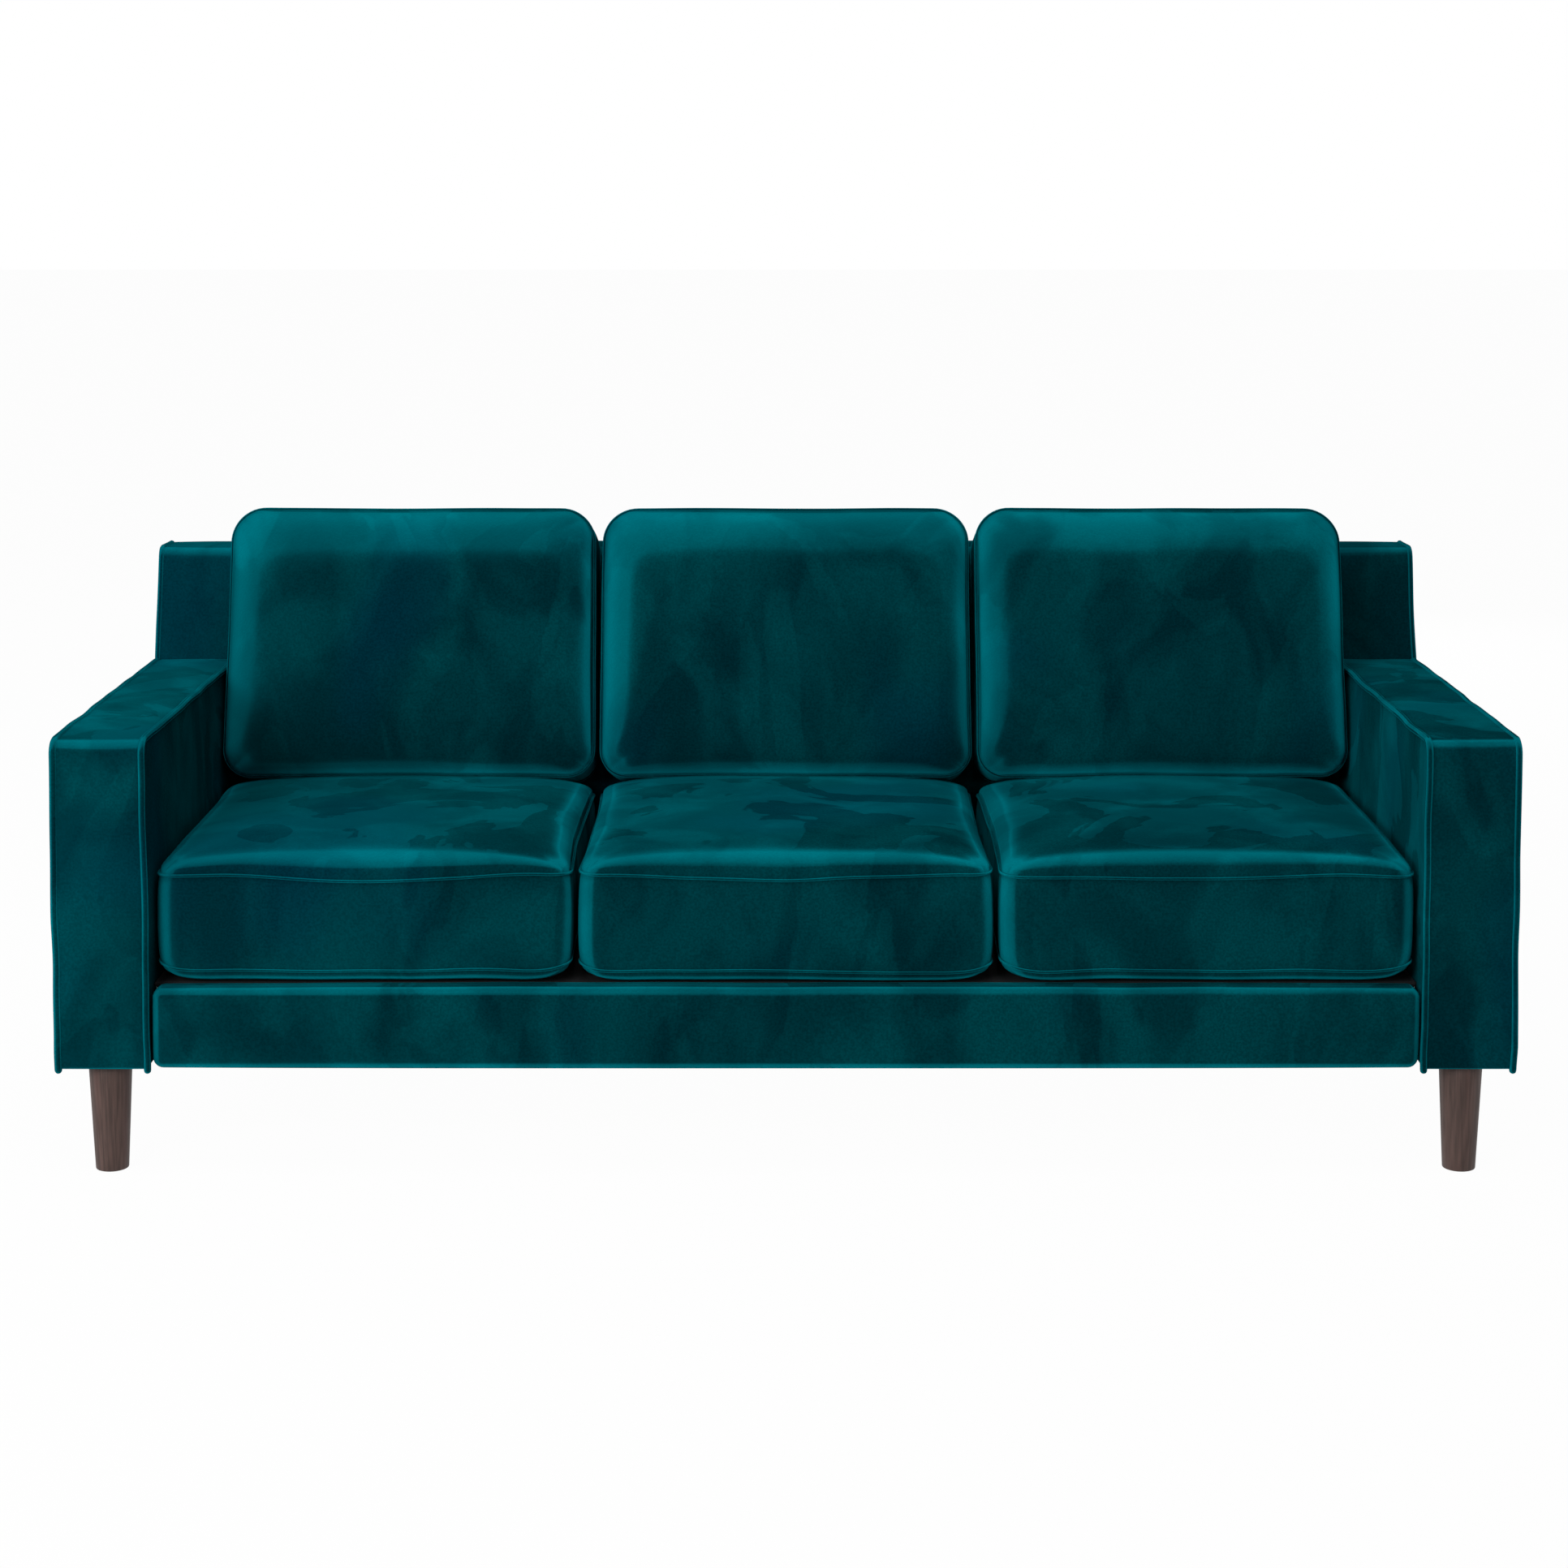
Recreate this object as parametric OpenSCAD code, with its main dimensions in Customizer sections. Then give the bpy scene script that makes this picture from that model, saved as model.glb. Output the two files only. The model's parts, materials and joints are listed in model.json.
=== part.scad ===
// Three-seat velvet sofa: two slim box arms, a raked back, a webbed seat base,
// three loose seat cushions, three loose back cushions and four turned legs.
// Millimetres. X runs along the seat, the front faces -Y, Z is up from the floor.
// The origin lies on the floor under the middle of the sofa.
// Left and right are as seen by someone who stands in front of it.

/* [Overall] */
// Overall width across the arms
sofa_w = 1960; // [1700:10:2300]
// Overall depth, from the arm fronts to the rear top edge of the back
sofa_d = 820; // [800:5:900]
// Height of the upholstery's underside above the floor
leg_h = 150; // [110:1:200]
// Height of the seat base, from its underside to the deck
base_h = 110; // [100:1:140]

/* [Arms] */
// Width of one arm
arm_w = 130; // [120:1:180]
// Height of the arm tops above the deck
arm_over_deck = 340; // [280:5:400]
// Radius of the long seamed edges
edge_r = 10; // [6:0.5:14]
// Radius of the fold where the arm's top turns down its front
fold_r = 18; // [8:0.5:30]

/* [Back] */
// Height of the back above the arm tops
back_over_arm = 168; // [120:2:220]
// Thickness of the back, measured level
back_t = 92; // [84:1:120]
// Lean of the back from upright, in degrees
rake = 16; // [12:0.5:18]
// How far the foot of the outside back stands in from the top
foot_setback = 60; // [40:2:90]
// Radius of the back's top edges
back_edge_r = 12; // [6:0.5:16]
// Radius of the back's top corners, seen from the front
back_corner_r = 13; // [8:0.5:30]
// Radius of the bend in the outside back
knee_r = 90; // [40:5:140]

/* [Seat cushions] */
// Gap between neighbouring seat cushions
seat_gap = 6.7; // [3:0.1:10]
// Height of the boxing strip, seam to seam
seat_box_h = 130; // [100:1:150]
// Rise of the top panel above its seam
seat_crown = 42; // [20:1:50]
// Fall of the bottom panel below its seam
seat_belly = 19.6; // [8:0.1:25]
// Setback of the cushion fronts behind the arm fronts
seat_setback = 17; // [8:1:30]
// Gap between the cushions and the foot of the back
seat_rear_gap = 3.5; // [2:0.5:12]
// Corner radius of the cushion in plan
seat_corner_r = 28; // [15:1:50]

/* [Back cushions] */
// Gap between neighbouring back cushions
back_gap = 6.7; // [3:0.1:10]
// Thickness of the boxing strip, seam to seam
back_box_t = 130; // [100:1:140]
// Swell of the front panel beyond its seam
back_crown = 36; // [15:1:45]
// Swell of the rear panel beyond its seam
back_belly = 3; // [1:0.5:6]
// Height of the cushion, seam to seam
back_box_h = 404; // [320:1:430]
// Corner radius of the cushion seen from the front
back_cushion_r = 40; // [20:1:80]

/* [Cushion making] */
// How far the sides draw in between the corners
draw_in = 4; // [0:0.5:8]
// How far the boxing strips swell at their middle
box_swell = 2; // [0:0.5:3]
// Thickness of fibre and cloth around the foam block
wrap_t = 34; // [28:1:50]
// Gap between a cushion and what it lies on
rest_gap = 0.4; // [0.3:0.1:1]

/* [Legs] */
// Diameter of a leg where it meets the upholstery
leg_top_dia = 58.6; // [45:0.2:70]
// Diameter of a leg at the floor
leg_foot_dia = 44.2; // [36:0.2:60]
// Distance of the leg axes from the outer sides
leg_inset_x = 65; // [50:1:85]
// Distance of the front leg axes behind the arm fronts
leg_inset_front = 50; // [44:1:80]
// Distance of the rear leg axes in front of the foot of the outside back
leg_inset_rear = 50; // [44:1:80]

/* [Upholstery and timber] */
// Thickness of the velvet with its backing
cover_t = 3; // [2:0.5:4]
// Thickness of the padding over the frames
pad_t = 12; // [6:1:14]
// Thickness of the frame boards
board_t = 22; // [18:1:25]
// Thickness of the hardboard panels
panel_t = 3; // [2:0.5:5]
// Setback of the apron's face behind the arm fronts
apron_setback = 3; // [1:1:12]
// Height of the upright rails in arms and back
rail_h = 72; // [60:1:76]
// Width of the webbing straps
strap_w = 50; // [40:1:60]
// Number of straps under one seat, front to back
straps_per_seat = 3; // [2:1:4]
// Number of straps across the base, arm to arm
cross_straps = 5; // [3:1:6]
// Number of straps across the back
back_straps = 4; // [3:1:5]
// Diameter of the bolts
bolt_dia = 8; // [6:1:9]

/* [Hidden] */

velvet = "#00434a";
fibre = "#ebe4cd";
timber = "#c9a36b";
walnut = "#5d4640";
hardboard = "#8b6a45";
strap_colour = "#3a3a38";
lining = "#202224";
steel = "#9aa0a4";

$fn = 48;
plain_sides = 12;
plain_share = cos(180 / plain_sides);
hex_sides = 6;
fit = 0.3;
overrun = 1;

// Heights above the floor
deck_z = leg_h + base_h;
arm_h = deck_z + arm_over_deck;
back_h = arm_h + back_over_arm;

// Layers from an upholstered face inwards
pad_inset = cover_t + fit;
frame_inset = pad_inset + pad_t + fit;
frame_z = leg_h + cover_t + fit;

// Places across the sofa
seats = 3;
outer_x = sofa_w / 2;
inner_x = outer_x - arm_w;
base_x = inner_x - fit;
pitch = 2 * inner_x / seats;
seat_centres = [for (i = [0:seats - 1]) (i - (seats - 1) / 2) * pitch];
seat_divisions = [for (i = [1:seats - 1]) (i - seats / 2) * pitch];
leg_x = outer_x - leg_inset_x;

// Depths behind the arm fronts
function back_front(z) = sofa_d - back_t - tan(rake) * (back_h - z);
foot_front = back_front(deck_z);
foot_rear = sofa_d - foot_setback;
leg_rear_d = foot_rear - leg_inset_rear;
apron_rear = apron_setback + pad_inset + pad_t + fit + board_t + pad_inset;
base_front = apron_rear + fit;
base_rear = foot_front - fit;

// Outlines: straight corners, corners moved in from their edges, and rounded corners
function unit(v) = v / norm(v);
function left_of(v) = [-v[1], v[0]];
function at(list, i) = list[(i + len(list)) % len(list)];
function moved_in(points, insets) = [for (i = [0:len(points) - 1])
    let(
        before = unit(points[i] - at(points, i - 1)),
        after = unit(at(points, i + 1) - points[i]),
        turn = cross(before, after)
    )
    points[i] - before * insets[i] / turn + after * at(insets, i - 1) / turn];
arc_steps = 6;
function rounded(points, radii) = [for (i = [0:len(points) - 1])
    let(
        before = unit(points[i] - at(points, i - 1)),
        after = unit(at(points, i + 1) - points[i]),
        turn = atan2(cross(before, after), before * after),
        side = sign(turn),
        start = points[i] - before * radii[i] * tan(abs(turn) / 2),
        centre = start + left_of(before) * radii[i] * side,
        steps = radii[i] > 0 ? arc_steps : 0
    )
    for (k = [0:steps])
        let(a = steps > 0 ? turn * k / steps : 0, out = start - centre)
        centre + [out[0] * cos(a) - out[1] * sin(a), out[0] * sin(a) + out[1] * cos(a)]];
// A corner's radius some way in from the face: the frame inside the padding has square corners
function shrunk(r, inset) = inset > pad_inset ? 0 : max(r - inset, 0);
function rectangle(low, high) = [low, [high[0], low[1]], high, [low[0], high[1]]];

// Solids drawn in depth and height, in width and height, and in width and depth
module along_x(outline, x0, x1)
    translate([x0, 0, 0]) rotate([90, 0, 90]) linear_extrude(x1 - x0) polygon(outline);
module along_y(outline, d0, d1)
    translate([0, d1, 0]) rotate([90, 0, 0]) linear_extrude(d1 - d0) polygon(outline);
module along_z(outline, z0, z1) translate([0, 0, z0]) linear_extrude(z1 - z0) polygon(outline);
module board(low, high) translate(low) cube(high - low);
module rod_x(r, x0, x1, d, z) translate([x0, d, z]) rotate([0, 90, 0]) cylinder(r = r, h = x1 - x0);
module rod_y(r, x, d0, d1, z) translate([x, d0, z]) rotate([-90, 0, 0]) cylinder(r = r, h = d1 - d0);
module rod_z(r, x, d, z0, z1) translate([x, d, z0]) cylinder(r = r, h = z1 - z0);

// Everything is drawn from the arm fronts backwards and centred at the end
module placed(colour) color(colour) translate([0, -sofa_d / 2, 0]) children();
module both_sides() {
    children();
    mirror([1, 0, 0]) children();
}
module on_side(side) if (side == "left") mirror([1, 0, 0]) children(); else children();

// Bolts and their nuts
bolt_r = bolt_dia / 2;
head_rim = 5;
head_r = bolt_r + head_rim;
head_t = 4;
barrel_wall = 1.2;
barrel_r = bolt_r + fit + barrel_wall;
barrel_l = 14;
flange_rim = 5;
flange_r = bolt_r + flange_rim;
flange_t = 2;
bolt_end = 3;
hole_r = bolt_r + fit;
nut_hole_r = barrel_r + fit;

// Legs, drawn from the front
leg_edge = 1.5;
leg_sides = 32;
glide_r = 14;
glide_proud = 1;
glide_t = 4;
pin_r = 1.5;
pin_l = 12;
leg_bolt_l = 50;
leg_places = [[-leg_x, leg_inset_front], [leg_x, leg_inset_front], [-leg_x, leg_rear_d], [leg_x, leg_rear_d]];
module leg_end(place, low_r, high_r, z) translate([place[0], place[1], z])
    cylinder(r1 = low_r, r2 = high_r, h = leg_edge, $fn = leg_sides);
module leg(place) placed(walnut) difference() {
    hull() {
        leg_end(place, leg_foot_dia / 2 - leg_edge, leg_foot_dia / 2, glide_proud);
        leg_end(place, leg_top_dia / 2, leg_top_dia / 2 - leg_edge, leg_h - leg_edge);
    }
    rod_z(hole_r, place[0], place[1], leg_h - leg_bolt_l - fit, leg_h + overrun);
    rod_z((glide_r + fit) / plain_share, place[0], place[1], -overrun, glide_t + fit, $fn = plain_sides);
    rod_z((pin_r + fit) / plain_share, place[0], place[1], 0, glide_t + pin_l + fit, $fn = plain_sides);
}
module leg_glides() placed(lining) for (p = leg_places) {
    rod_z(glide_r, p[0], p[1], 0, glide_t);
    rod_z(pin_r, p[0], p[1], glide_t, glide_t + pin_l, $fn = plain_sides);
}
leg_nut_z = frame_z + board_t;
module leg_bolts() placed(steel) for (p = leg_places)
    rod_z(bolt_r, p[0], p[1], leg_h - leg_bolt_l, leg_nut_z + flange_t + bolt_end);
module leg_t_nuts() placed(steel) for (p = leg_places) difference() {
    union() {
        rod_z(barrel_r, p[0], p[1], leg_nut_z - barrel_l, leg_nut_z, $fn = plain_sides);
        rod_z(flange_r, p[0], p[1], leg_nut_z, leg_nut_z + flange_t, $fn = plain_sides);
    }
    rod_z(hole_r, p[0], p[1], leg_nut_z - barrel_l - overrun, leg_nut_z + flange_t + overrun);
}
module leg_holes(r) for (p = leg_places) rod_z(r, p[0], p[1], leg_h - overrun, leg_nut_z + overrun);

// Bolts that hold the arms and the back to the seat base
bolt_z = frame_z + board_t + rail_h / 2;
bolt_inset = 96;
arm_bolt_depths = [base_front + bolt_inset, base_rear - bolt_inset];
arm_nut_x = inner_x + frame_inset + panel_t + board_t;
back_nut_d = foot_front + frame_inset + board_t;
module arm_fixings(r, x0, x1) for (d = arm_bolt_depths) both_sides() rod_x(r, x0, x1, d, bolt_z);
module back_fixings(r, d0, d1) for (x = seat_centres) rod_y(r, x, d0, d1, bolt_z);
module frame_bolts() placed(steel) {
    arm_fixings(head_r, base_x - board_t - head_t, base_x - board_t, $fn = hex_sides);
    arm_fixings(bolt_r, base_x - board_t, arm_nut_x + flange_t + bolt_end);
    back_fixings(head_r, base_rear - board_t - head_t, base_rear - board_t, $fn = hex_sides);
    back_fixings(bolt_r, base_rear - board_t, back_nut_d + flange_t + bolt_end);
}
module frame_t_nuts() placed(steel) difference() {
    union() {
        arm_fixings(barrel_r, arm_nut_x - barrel_l, arm_nut_x, $fn = plain_sides);
        arm_fixings(flange_r, arm_nut_x, arm_nut_x + flange_t, $fn = plain_sides);
        back_fixings(barrel_r, back_nut_d - barrel_l, back_nut_d, $fn = plain_sides);
        back_fixings(flange_r, back_nut_d, back_nut_d + flange_t, $fn = plain_sides);
    }
    arm_fixings(hole_r, arm_nut_x - barrel_l - overrun, arm_nut_x + flange_t + overrun);
    back_fixings(hole_r, back_nut_d - barrel_l - overrun, back_nut_d + flange_t + overrun);
}
module drilled_holes() {
    arm_fixings(hole_r, base_x - board_t - overrun, arm_nut_x);
    back_fixings(hole_r, base_rear - board_t - overrun, back_nut_d);
}

// Holes punched through cloth, padding and panels with a twelve-sided punch that clears the bolts
punch_r = hole_r / plain_share;
module punched_holes() {
    $fn = plain_sides;
    arm_fixings(punch_r, base_x, arm_nut_x);
    back_fixings(punch_r, base_rear, back_nut_d);
    leg_holes(punch_r);
}

// Arms, drawn on the right
bottom_edge_r = 5;
front_edge_r = 5;
module arm_block(inset, bottom, rear_gap) {
    top = arm_h - inset;
    rear = foot_front - rear_gap;
    intersection() {
        along_x(rounded(
            [[inset, bottom], [rear, bottom], [rear, deck_z], [back_front(top) - rear_gap, top], [inset, top]],
            [shrunk(bottom_edge_r, inset), 0, 0, 0, shrunk(fold_r, inset)]
        ), inner_x, outer_x);
        along_y(rounded(
            rectangle([inner_x + inset, bottom], [outer_x - inset, top]),
            [for (r = [bottom_edge_r, bottom_edge_r, edge_r, edge_r]) shrunk(r, inset)]
        ), 0, sofa_d);
        along_z(rounded(
            rectangle([inner_x + inset, inset], [outer_x - inset, sofa_d]),
            [for (r = [front_edge_r, front_edge_r, 0, 0]) shrunk(r, inset)]
        ), 0, arm_h);
    }
}
module arm_cover(side) placed(velvet) difference() {
    on_side(side) difference() {
        arm_block(0, leg_h, fit);
        arm_block(cover_t, leg_h + cover_t, fit + cover_t);
    }
    punched_holes();
}
module arm_padding(side) placed(fibre) difference() {
    on_side(side) difference() {
        arm_block(pad_inset, frame_z, fit + pad_inset);
        arm_block(frame_inset - fit, leg_h - overrun, -overrun);
    }
    punched_holes();
}
arm_frame = [inner_x + frame_inset, outer_x - frame_inset];
arm_wood = [arm_frame[0] + panel_t, arm_frame[1] - panel_t];
arm_wood_z = [frame_z + board_t, arm_h - frame_inset];
arm_wood_rear = foot_front - fit - pad_inset - fit;
module arm_bottom_board(side) placed(timber) difference() {
    on_side(side) board([arm_wood[0], frame_inset, frame_z], [arm_wood[1], arm_wood_rear, frame_z + board_t]);
    leg_holes(nut_hole_r, $fn = plain_sides);
}
module arm_front_post(side) placed(timber) on_side(side)
    board([arm_wood[0], frame_inset, arm_wood_z[0]],
        [arm_wood[1], frame_inset + board_t, arm_wood_z[1] - board_t]);
module arm_rear_post(side) placed(timber) on_side(side)
    board([arm_wood[0], arm_wood_rear - board_t, arm_wood_z[0]],
        [arm_wood[1], arm_wood_rear, arm_wood_z[1] - board_t]);
module arm_top_rail(side) placed(timber) on_side(side)
    board([arm_wood[0], frame_inset, arm_wood_z[1] - board_t],
        [arm_wood[1], back_front(arm_wood_z[1] - board_t) - pad_inset - 2 * fit, arm_wood_z[1]]);
module arm_bolt_rail(side) placed(timber) difference() {
    on_side(side) board([arm_wood[0], frame_inset + board_t, arm_wood_z[0]],
        [arm_wood[0] + board_t, arm_wood_rear - board_t, arm_wood_z[0] + rail_h]);
    arm_fixings(nut_hole_r, arm_wood[0] - overrun, arm_nut_x + overrun, $fn = plain_sides);
}
module arm_side_panels() placed(hardboard) difference() {
    both_sides() for (x = [arm_frame[0], arm_wood[1]])
        board([x, frame_inset, frame_z], [x + panel_t, arm_wood_rear, arm_wood_z[1]]);
    punched_holes();
}

// Apron under the cushion fronts
apron_side_gap = 1.5;
apron_edge_r = 9;
apron_x = inner_x - apron_side_gap;
module apron_block(inset, low, high) {
    intersection() {
        along_x(rounded(rectangle(low, high), [for (i = [0:3]) shrunk(apron_edge_r, inset)]), -apron_x, apron_x);
        along_y(rounded(
            rectangle([inset - apron_x, low[1]], [apron_x - inset, high[1]]),
            [for (i = [0:3]) shrunk(apron_edge_r, inset)]
        ), 0, sofa_d);
    }
}
module apron_cover() placed(velvet) difference() {
    apron_block(0, [apron_setback, leg_h], [apron_rear, deck_z]);
    apron_block(cover_t, [apron_setback + cover_t, leg_h + cover_t], [apron_rear - cover_t, deck_z - cover_t]);
}
apron_board_d = apron_setback + frame_inset;
module apron_padding() placed(fibre)
    apron_block(pad_inset, [apron_setback + pad_inset, frame_z], [apron_board_d - fit, deck_z - pad_inset]);
module apron_board() placed(timber)
    apron_block(pad_inset, [apron_board_d, frame_z], [apron_board_d + board_t, deck_z - pad_inset]);

// Seat base
cloth_t = 2;
deck_pad_t = 8;
strap_t = 2;
block_leg = 60;
rail_top = deck_z - cloth_t - deck_pad_t - 2 * strap_t;
side_rail_x = base_x - board_t;
module seat_front_rail() placed(timber)
    board([-base_x, base_front, frame_z], [base_x, base_front + board_t, rail_top]);
module seat_rear_rail() placed(timber) difference() {
    board([-base_x, base_rear - board_t, frame_z], [base_x, base_rear, rail_top]);
    drilled_holes();
}
module seat_side_rail(side) placed(timber) difference() {
    on_side(side) board([side_rail_x, base_front + board_t, frame_z], [base_x, base_rear - board_t, rail_top]);
    drilled_holes();
}
module seat_cross_rails() placed(timber) for (x = seat_divisions)
    board([x - board_t / 2, base_front + board_t, frame_z], [x + board_t / 2, base_rear - board_t, rail_top]);
module seat_corner_blocks() placed(timber) both_sides() {
    front = base_front + board_t;
    rear = base_rear - board_t;
    along_z([[side_rail_x - block_leg, front], [side_rail_x, front], [side_rail_x, front + block_leg]], frame_z, rail_top);
    along_z([[side_rail_x, rear - block_leg], [side_rail_x, rear], [side_rail_x - block_leg, rear]], frame_z, rail_top);
}
module seat_webbing_long() placed(strap_colour)
    for (centre = seat_centres, i = [1:straps_per_seat]) {
        x = centre + (i - (straps_per_seat + 1) / 2) * pitch / (straps_per_seat + 1) - strap_w / 2;
        board([x, base_front, rail_top], [x + strap_w, base_rear, rail_top + strap_t]);
    }
module seat_webbing_cross() placed(strap_colour) for (i = [1:cross_straps]) {
    d = base_front + (base_rear - base_front) * i / (cross_straps + 1) - strap_w / 2;
    board([-base_x, d, rail_top + strap_t], [base_x, d + strap_w, rail_top + 2 * strap_t]);
}
module deck_pad() placed(fibre)
    board([-base_x, base_front, rail_top + 2 * strap_t], [base_x, base_rear, deck_z - cloth_t]);
module deck_cloth() placed(lining) board([-base_x, base_front, deck_z - cloth_t], [base_x, base_rear, deck_z]);
module dust_cover() placed(lining) board([-base_x, base_front, frame_z - cloth_t], [base_x, base_rear, frame_z]);

// Back
rear_top = sofa_d + back_edge_r * (tan(rake) + 1 / cos(rake) - 1);
back_points = [
    [foot_front, leg_h], [foot_rear, leg_h], [foot_rear, back_h - (rear_top - foot_rear) / tan(rake)],
    [rear_top, back_h], [back_front(back_h), back_h], [foot_front, deck_z]
];
function back_corners(inset, bottom_inset) =
    moved_in(back_points, [bottom_inset, inset, inset, inset, inset, inset]);
module back_block(inset, bottom_inset) intersection() {
    along_x(rounded(back_corners(inset, bottom_inset), [
        shrunk(bottom_edge_r, inset), shrunk(bottom_edge_r, inset), knee_r + inset,
        shrunk(back_edge_r, inset), shrunk(back_edge_r, inset), 0
    ]), inset - outer_x, outer_x - inset);
    along_y(rounded(
        rectangle([inset - outer_x, leg_h + bottom_inset], [outer_x - inset, back_h - inset]),
        [for (r = [bottom_edge_r, bottom_edge_r, back_corner_r, back_corner_r]) shrunk(r, inset)]
    ), 0, sofa_d + overrun);
}
module back_cover() placed(velvet) difference() {
    back_block(0, 0);
    back_block(cover_t, cover_t);
    punched_holes();
}
module back_padding() placed(fibre) difference() {
    back_block(pad_inset, pad_inset);
    back_block(frame_inset - fit, -overrun);
    punched_holes();
}
frame_x = outer_x - frame_inset;
rib_front = frame_inset + strap_t;
rib_rear = frame_inset + panel_t;
rib_corners = moved_in(back_points, [pad_inset + board_t, rib_rear, rib_rear, frame_inset, rib_front, rib_front]);
rib_places = concat([frame_x - board_t / 2, board_t / 2 - frame_x], seat_divisions);
bolt_rail_d = [foot_front + frame_inset, foot_front + frame_inset + board_t];
top_rail_z = [back_h - frame_inset - rail_h, back_h - frame_inset];
middle_rail_z = [arm_h - rail_h, arm_h];
function rail_d(z) = back_front(z) + rib_front / cos(rake) + fit;
module back_bottom_board() placed(timber) difference() {
    board([-frame_x, foot_front + frame_inset, frame_z], [frame_x, foot_rear - rib_rear, frame_z + board_t]);
    leg_holes(nut_hole_r, $fn = plain_sides);
}
module back_bolt_rail() placed(timber) difference() {
    board([-frame_x, bolt_rail_d[0], frame_z + board_t], [frame_x, bolt_rail_d[1], frame_z + board_t + rail_h]);
    back_fixings(nut_hole_r, bolt_rail_d[0] - overrun, back_nut_d + overrun, $fn = plain_sides);
}
module upper_rail(z_range, gap) board(
    [-frame_x - gap, rail_d(z_range[1]) - gap, z_range[0] - gap],
    [frame_x + gap, rail_d(z_range[1]) + board_t + gap, z_range[1] + gap]);
module back_top_rail() placed(timber) upper_rail(top_rail_z, 0);
module back_middle_rail() placed(timber) upper_rail(middle_rail_z, 0);
module back_ribs() placed(timber) difference() {
    for (x = rib_places) along_x(rib_corners, x - board_t / 2, x + board_t / 2);
    upper_rail(top_rail_z, fit);
    upper_rail(middle_rail_z, fit);
    board([-outer_x, foot_front, frame_z], [outer_x, bolt_rail_d[1] + fit, frame_z + board_t + rail_h + fit]);
}
module back_rear_panel() placed(hardboard) {
    outside = back_corners(frame_inset, pad_inset);
    inside = back_corners(rib_rear, pad_inset);
    along_x([outside[1], outside[2], outside[3], inside[3], inside[2], inside[1]], -frame_x, frame_x);
}
module back_webbing() placed(strap_colour) for (i = [1:back_straps]) {
    z = deck_z + (back_h - deck_z) * i / (back_straps + 1) - strap_w / 2;
    front = frame_inset / cos(rake);
    along_x([for (p = [[0, z], [strap_t, z], [strap_t, z + strap_w], [0, z + strap_w]])
        [back_front(p[1]) + front + p[0], p[1]]], -frame_x, frame_x);
}

// Cushions: rings of points from the middle of one panel, over the boxing strip, to the middle of the other
corner_steps = 4;
side_steps = 5;
belly_shares = [0.5, 0.8, 0.94, 1];
crown_shares = [1, 0.97, 0.91, 0.82, 0.66, 0.4];
seat_crown_power = 6;
back_crown_power = 3.5;
belly_power = 10;
function cushion_outline(half, r) = [for (side = [0:3])
    let(
        corner = [(side == 0 || side == 3 ? 1 : -1) * (half[0] - r), (side < 2 ? 1 : -1) * (half[1] - r)],
        out = [cos(90 * side + 90), sin(90 * side + 90)],
        run = (side % 2 == 0 ? half[0] : half[1]) - r
    )
    each concat(
        [for (k = [0:corner_steps]) let(a = 90 * (side + k / corner_steps)) corner + r * [cos(a), sin(a)]],
        [for (k = [1:side_steps]) let(t = k / (side_steps + 1))
            corner + out * (r - draw_in * 4 * t * (1 - t)) + left_of(out) * 2 * run * t]
    )];
function panel_ring(outline, share, rim, rise, power) =
    [for (p = outline) [p[0] * share, p[1] * share, rim + rise * (1 - pow(share, power))]];
function cushion_points(half, r, box, crown, belly, crown_power) =
    let(seam = cushion_outline(half, r), middle = cushion_outline(half + [box_swell, box_swell], r + box_swell))
    concat(
        [[0, 0, -box / 2 - belly]],
        [for (s = belly_shares) each panel_ring(seam, s, -box / 2, -belly, belly_power)],
        [for (p = middle) [p[0], p[1], 0]],
        [for (s = crown_shares) each panel_ring(seam, s, box / 2, crown, crown_power)],
        [[0, 0, box / 2 + crown]]
    );
function cushion_faces(count, total) =
    let(rings = (total - 2) / count)
    concat(
        [for (j = [0:count - 1]) [0, 1 + j, 1 + (j + 1) % count]],
        [for (i = [0:rings - 2], j = [0:count - 1])
            let(a = 1 + i * count + j, b = 1 + i * count + (j + 1) % count)
            each [[a, a + count, b + count], [a, b + count, b]]],
        [for (j = [0:count - 1]) [total - 1, total - 1 - count + (j + 1) % count, total - 1 - count + j]]
    );
module cushion(points) polyhedron(points, cushion_faces(4 * (corner_steps + 1 + side_steps), len(points)));

seat_half = [(pitch - seat_gap) / 2, (foot_front - seat_rear_gap - seat_setback) / 2];
seat_middle_d = seat_setback + seat_half[1];
seat_middle_z = deck_z + rest_gap + seat_belly + seat_box_h / 2;
seat_foam_half = [seat_half[0] - wrap_t, seat_half[1] - wrap_t, seat_box_h / 2];
function seat_top(d) = seat_middle_z + seat_box_h / 2
    + seat_crown * (1 - pow(abs(d - seat_middle_d) / seat_half[1], seat_crown_power));
module seat_foam_block(i, gap) translate([seat_centres[i], seat_middle_d, seat_middle_z])
    board(-seat_foam_half - [gap, gap, gap], seat_foam_half + [gap, gap, gap]);
module seat_cushion_cover(i) placed(velvet) difference() {
    translate([seat_centres[i], seat_middle_d, seat_middle_z]) cushion(cushion_points(
        seat_half - [box_swell, box_swell], seat_corner_r, seat_box_h, seat_crown, seat_belly, seat_crown_power));
    seat_foam_block(i, fit);
}
module seat_cushion_foam(i) placed(fibre) seat_foam_block(i, 0);

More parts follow.
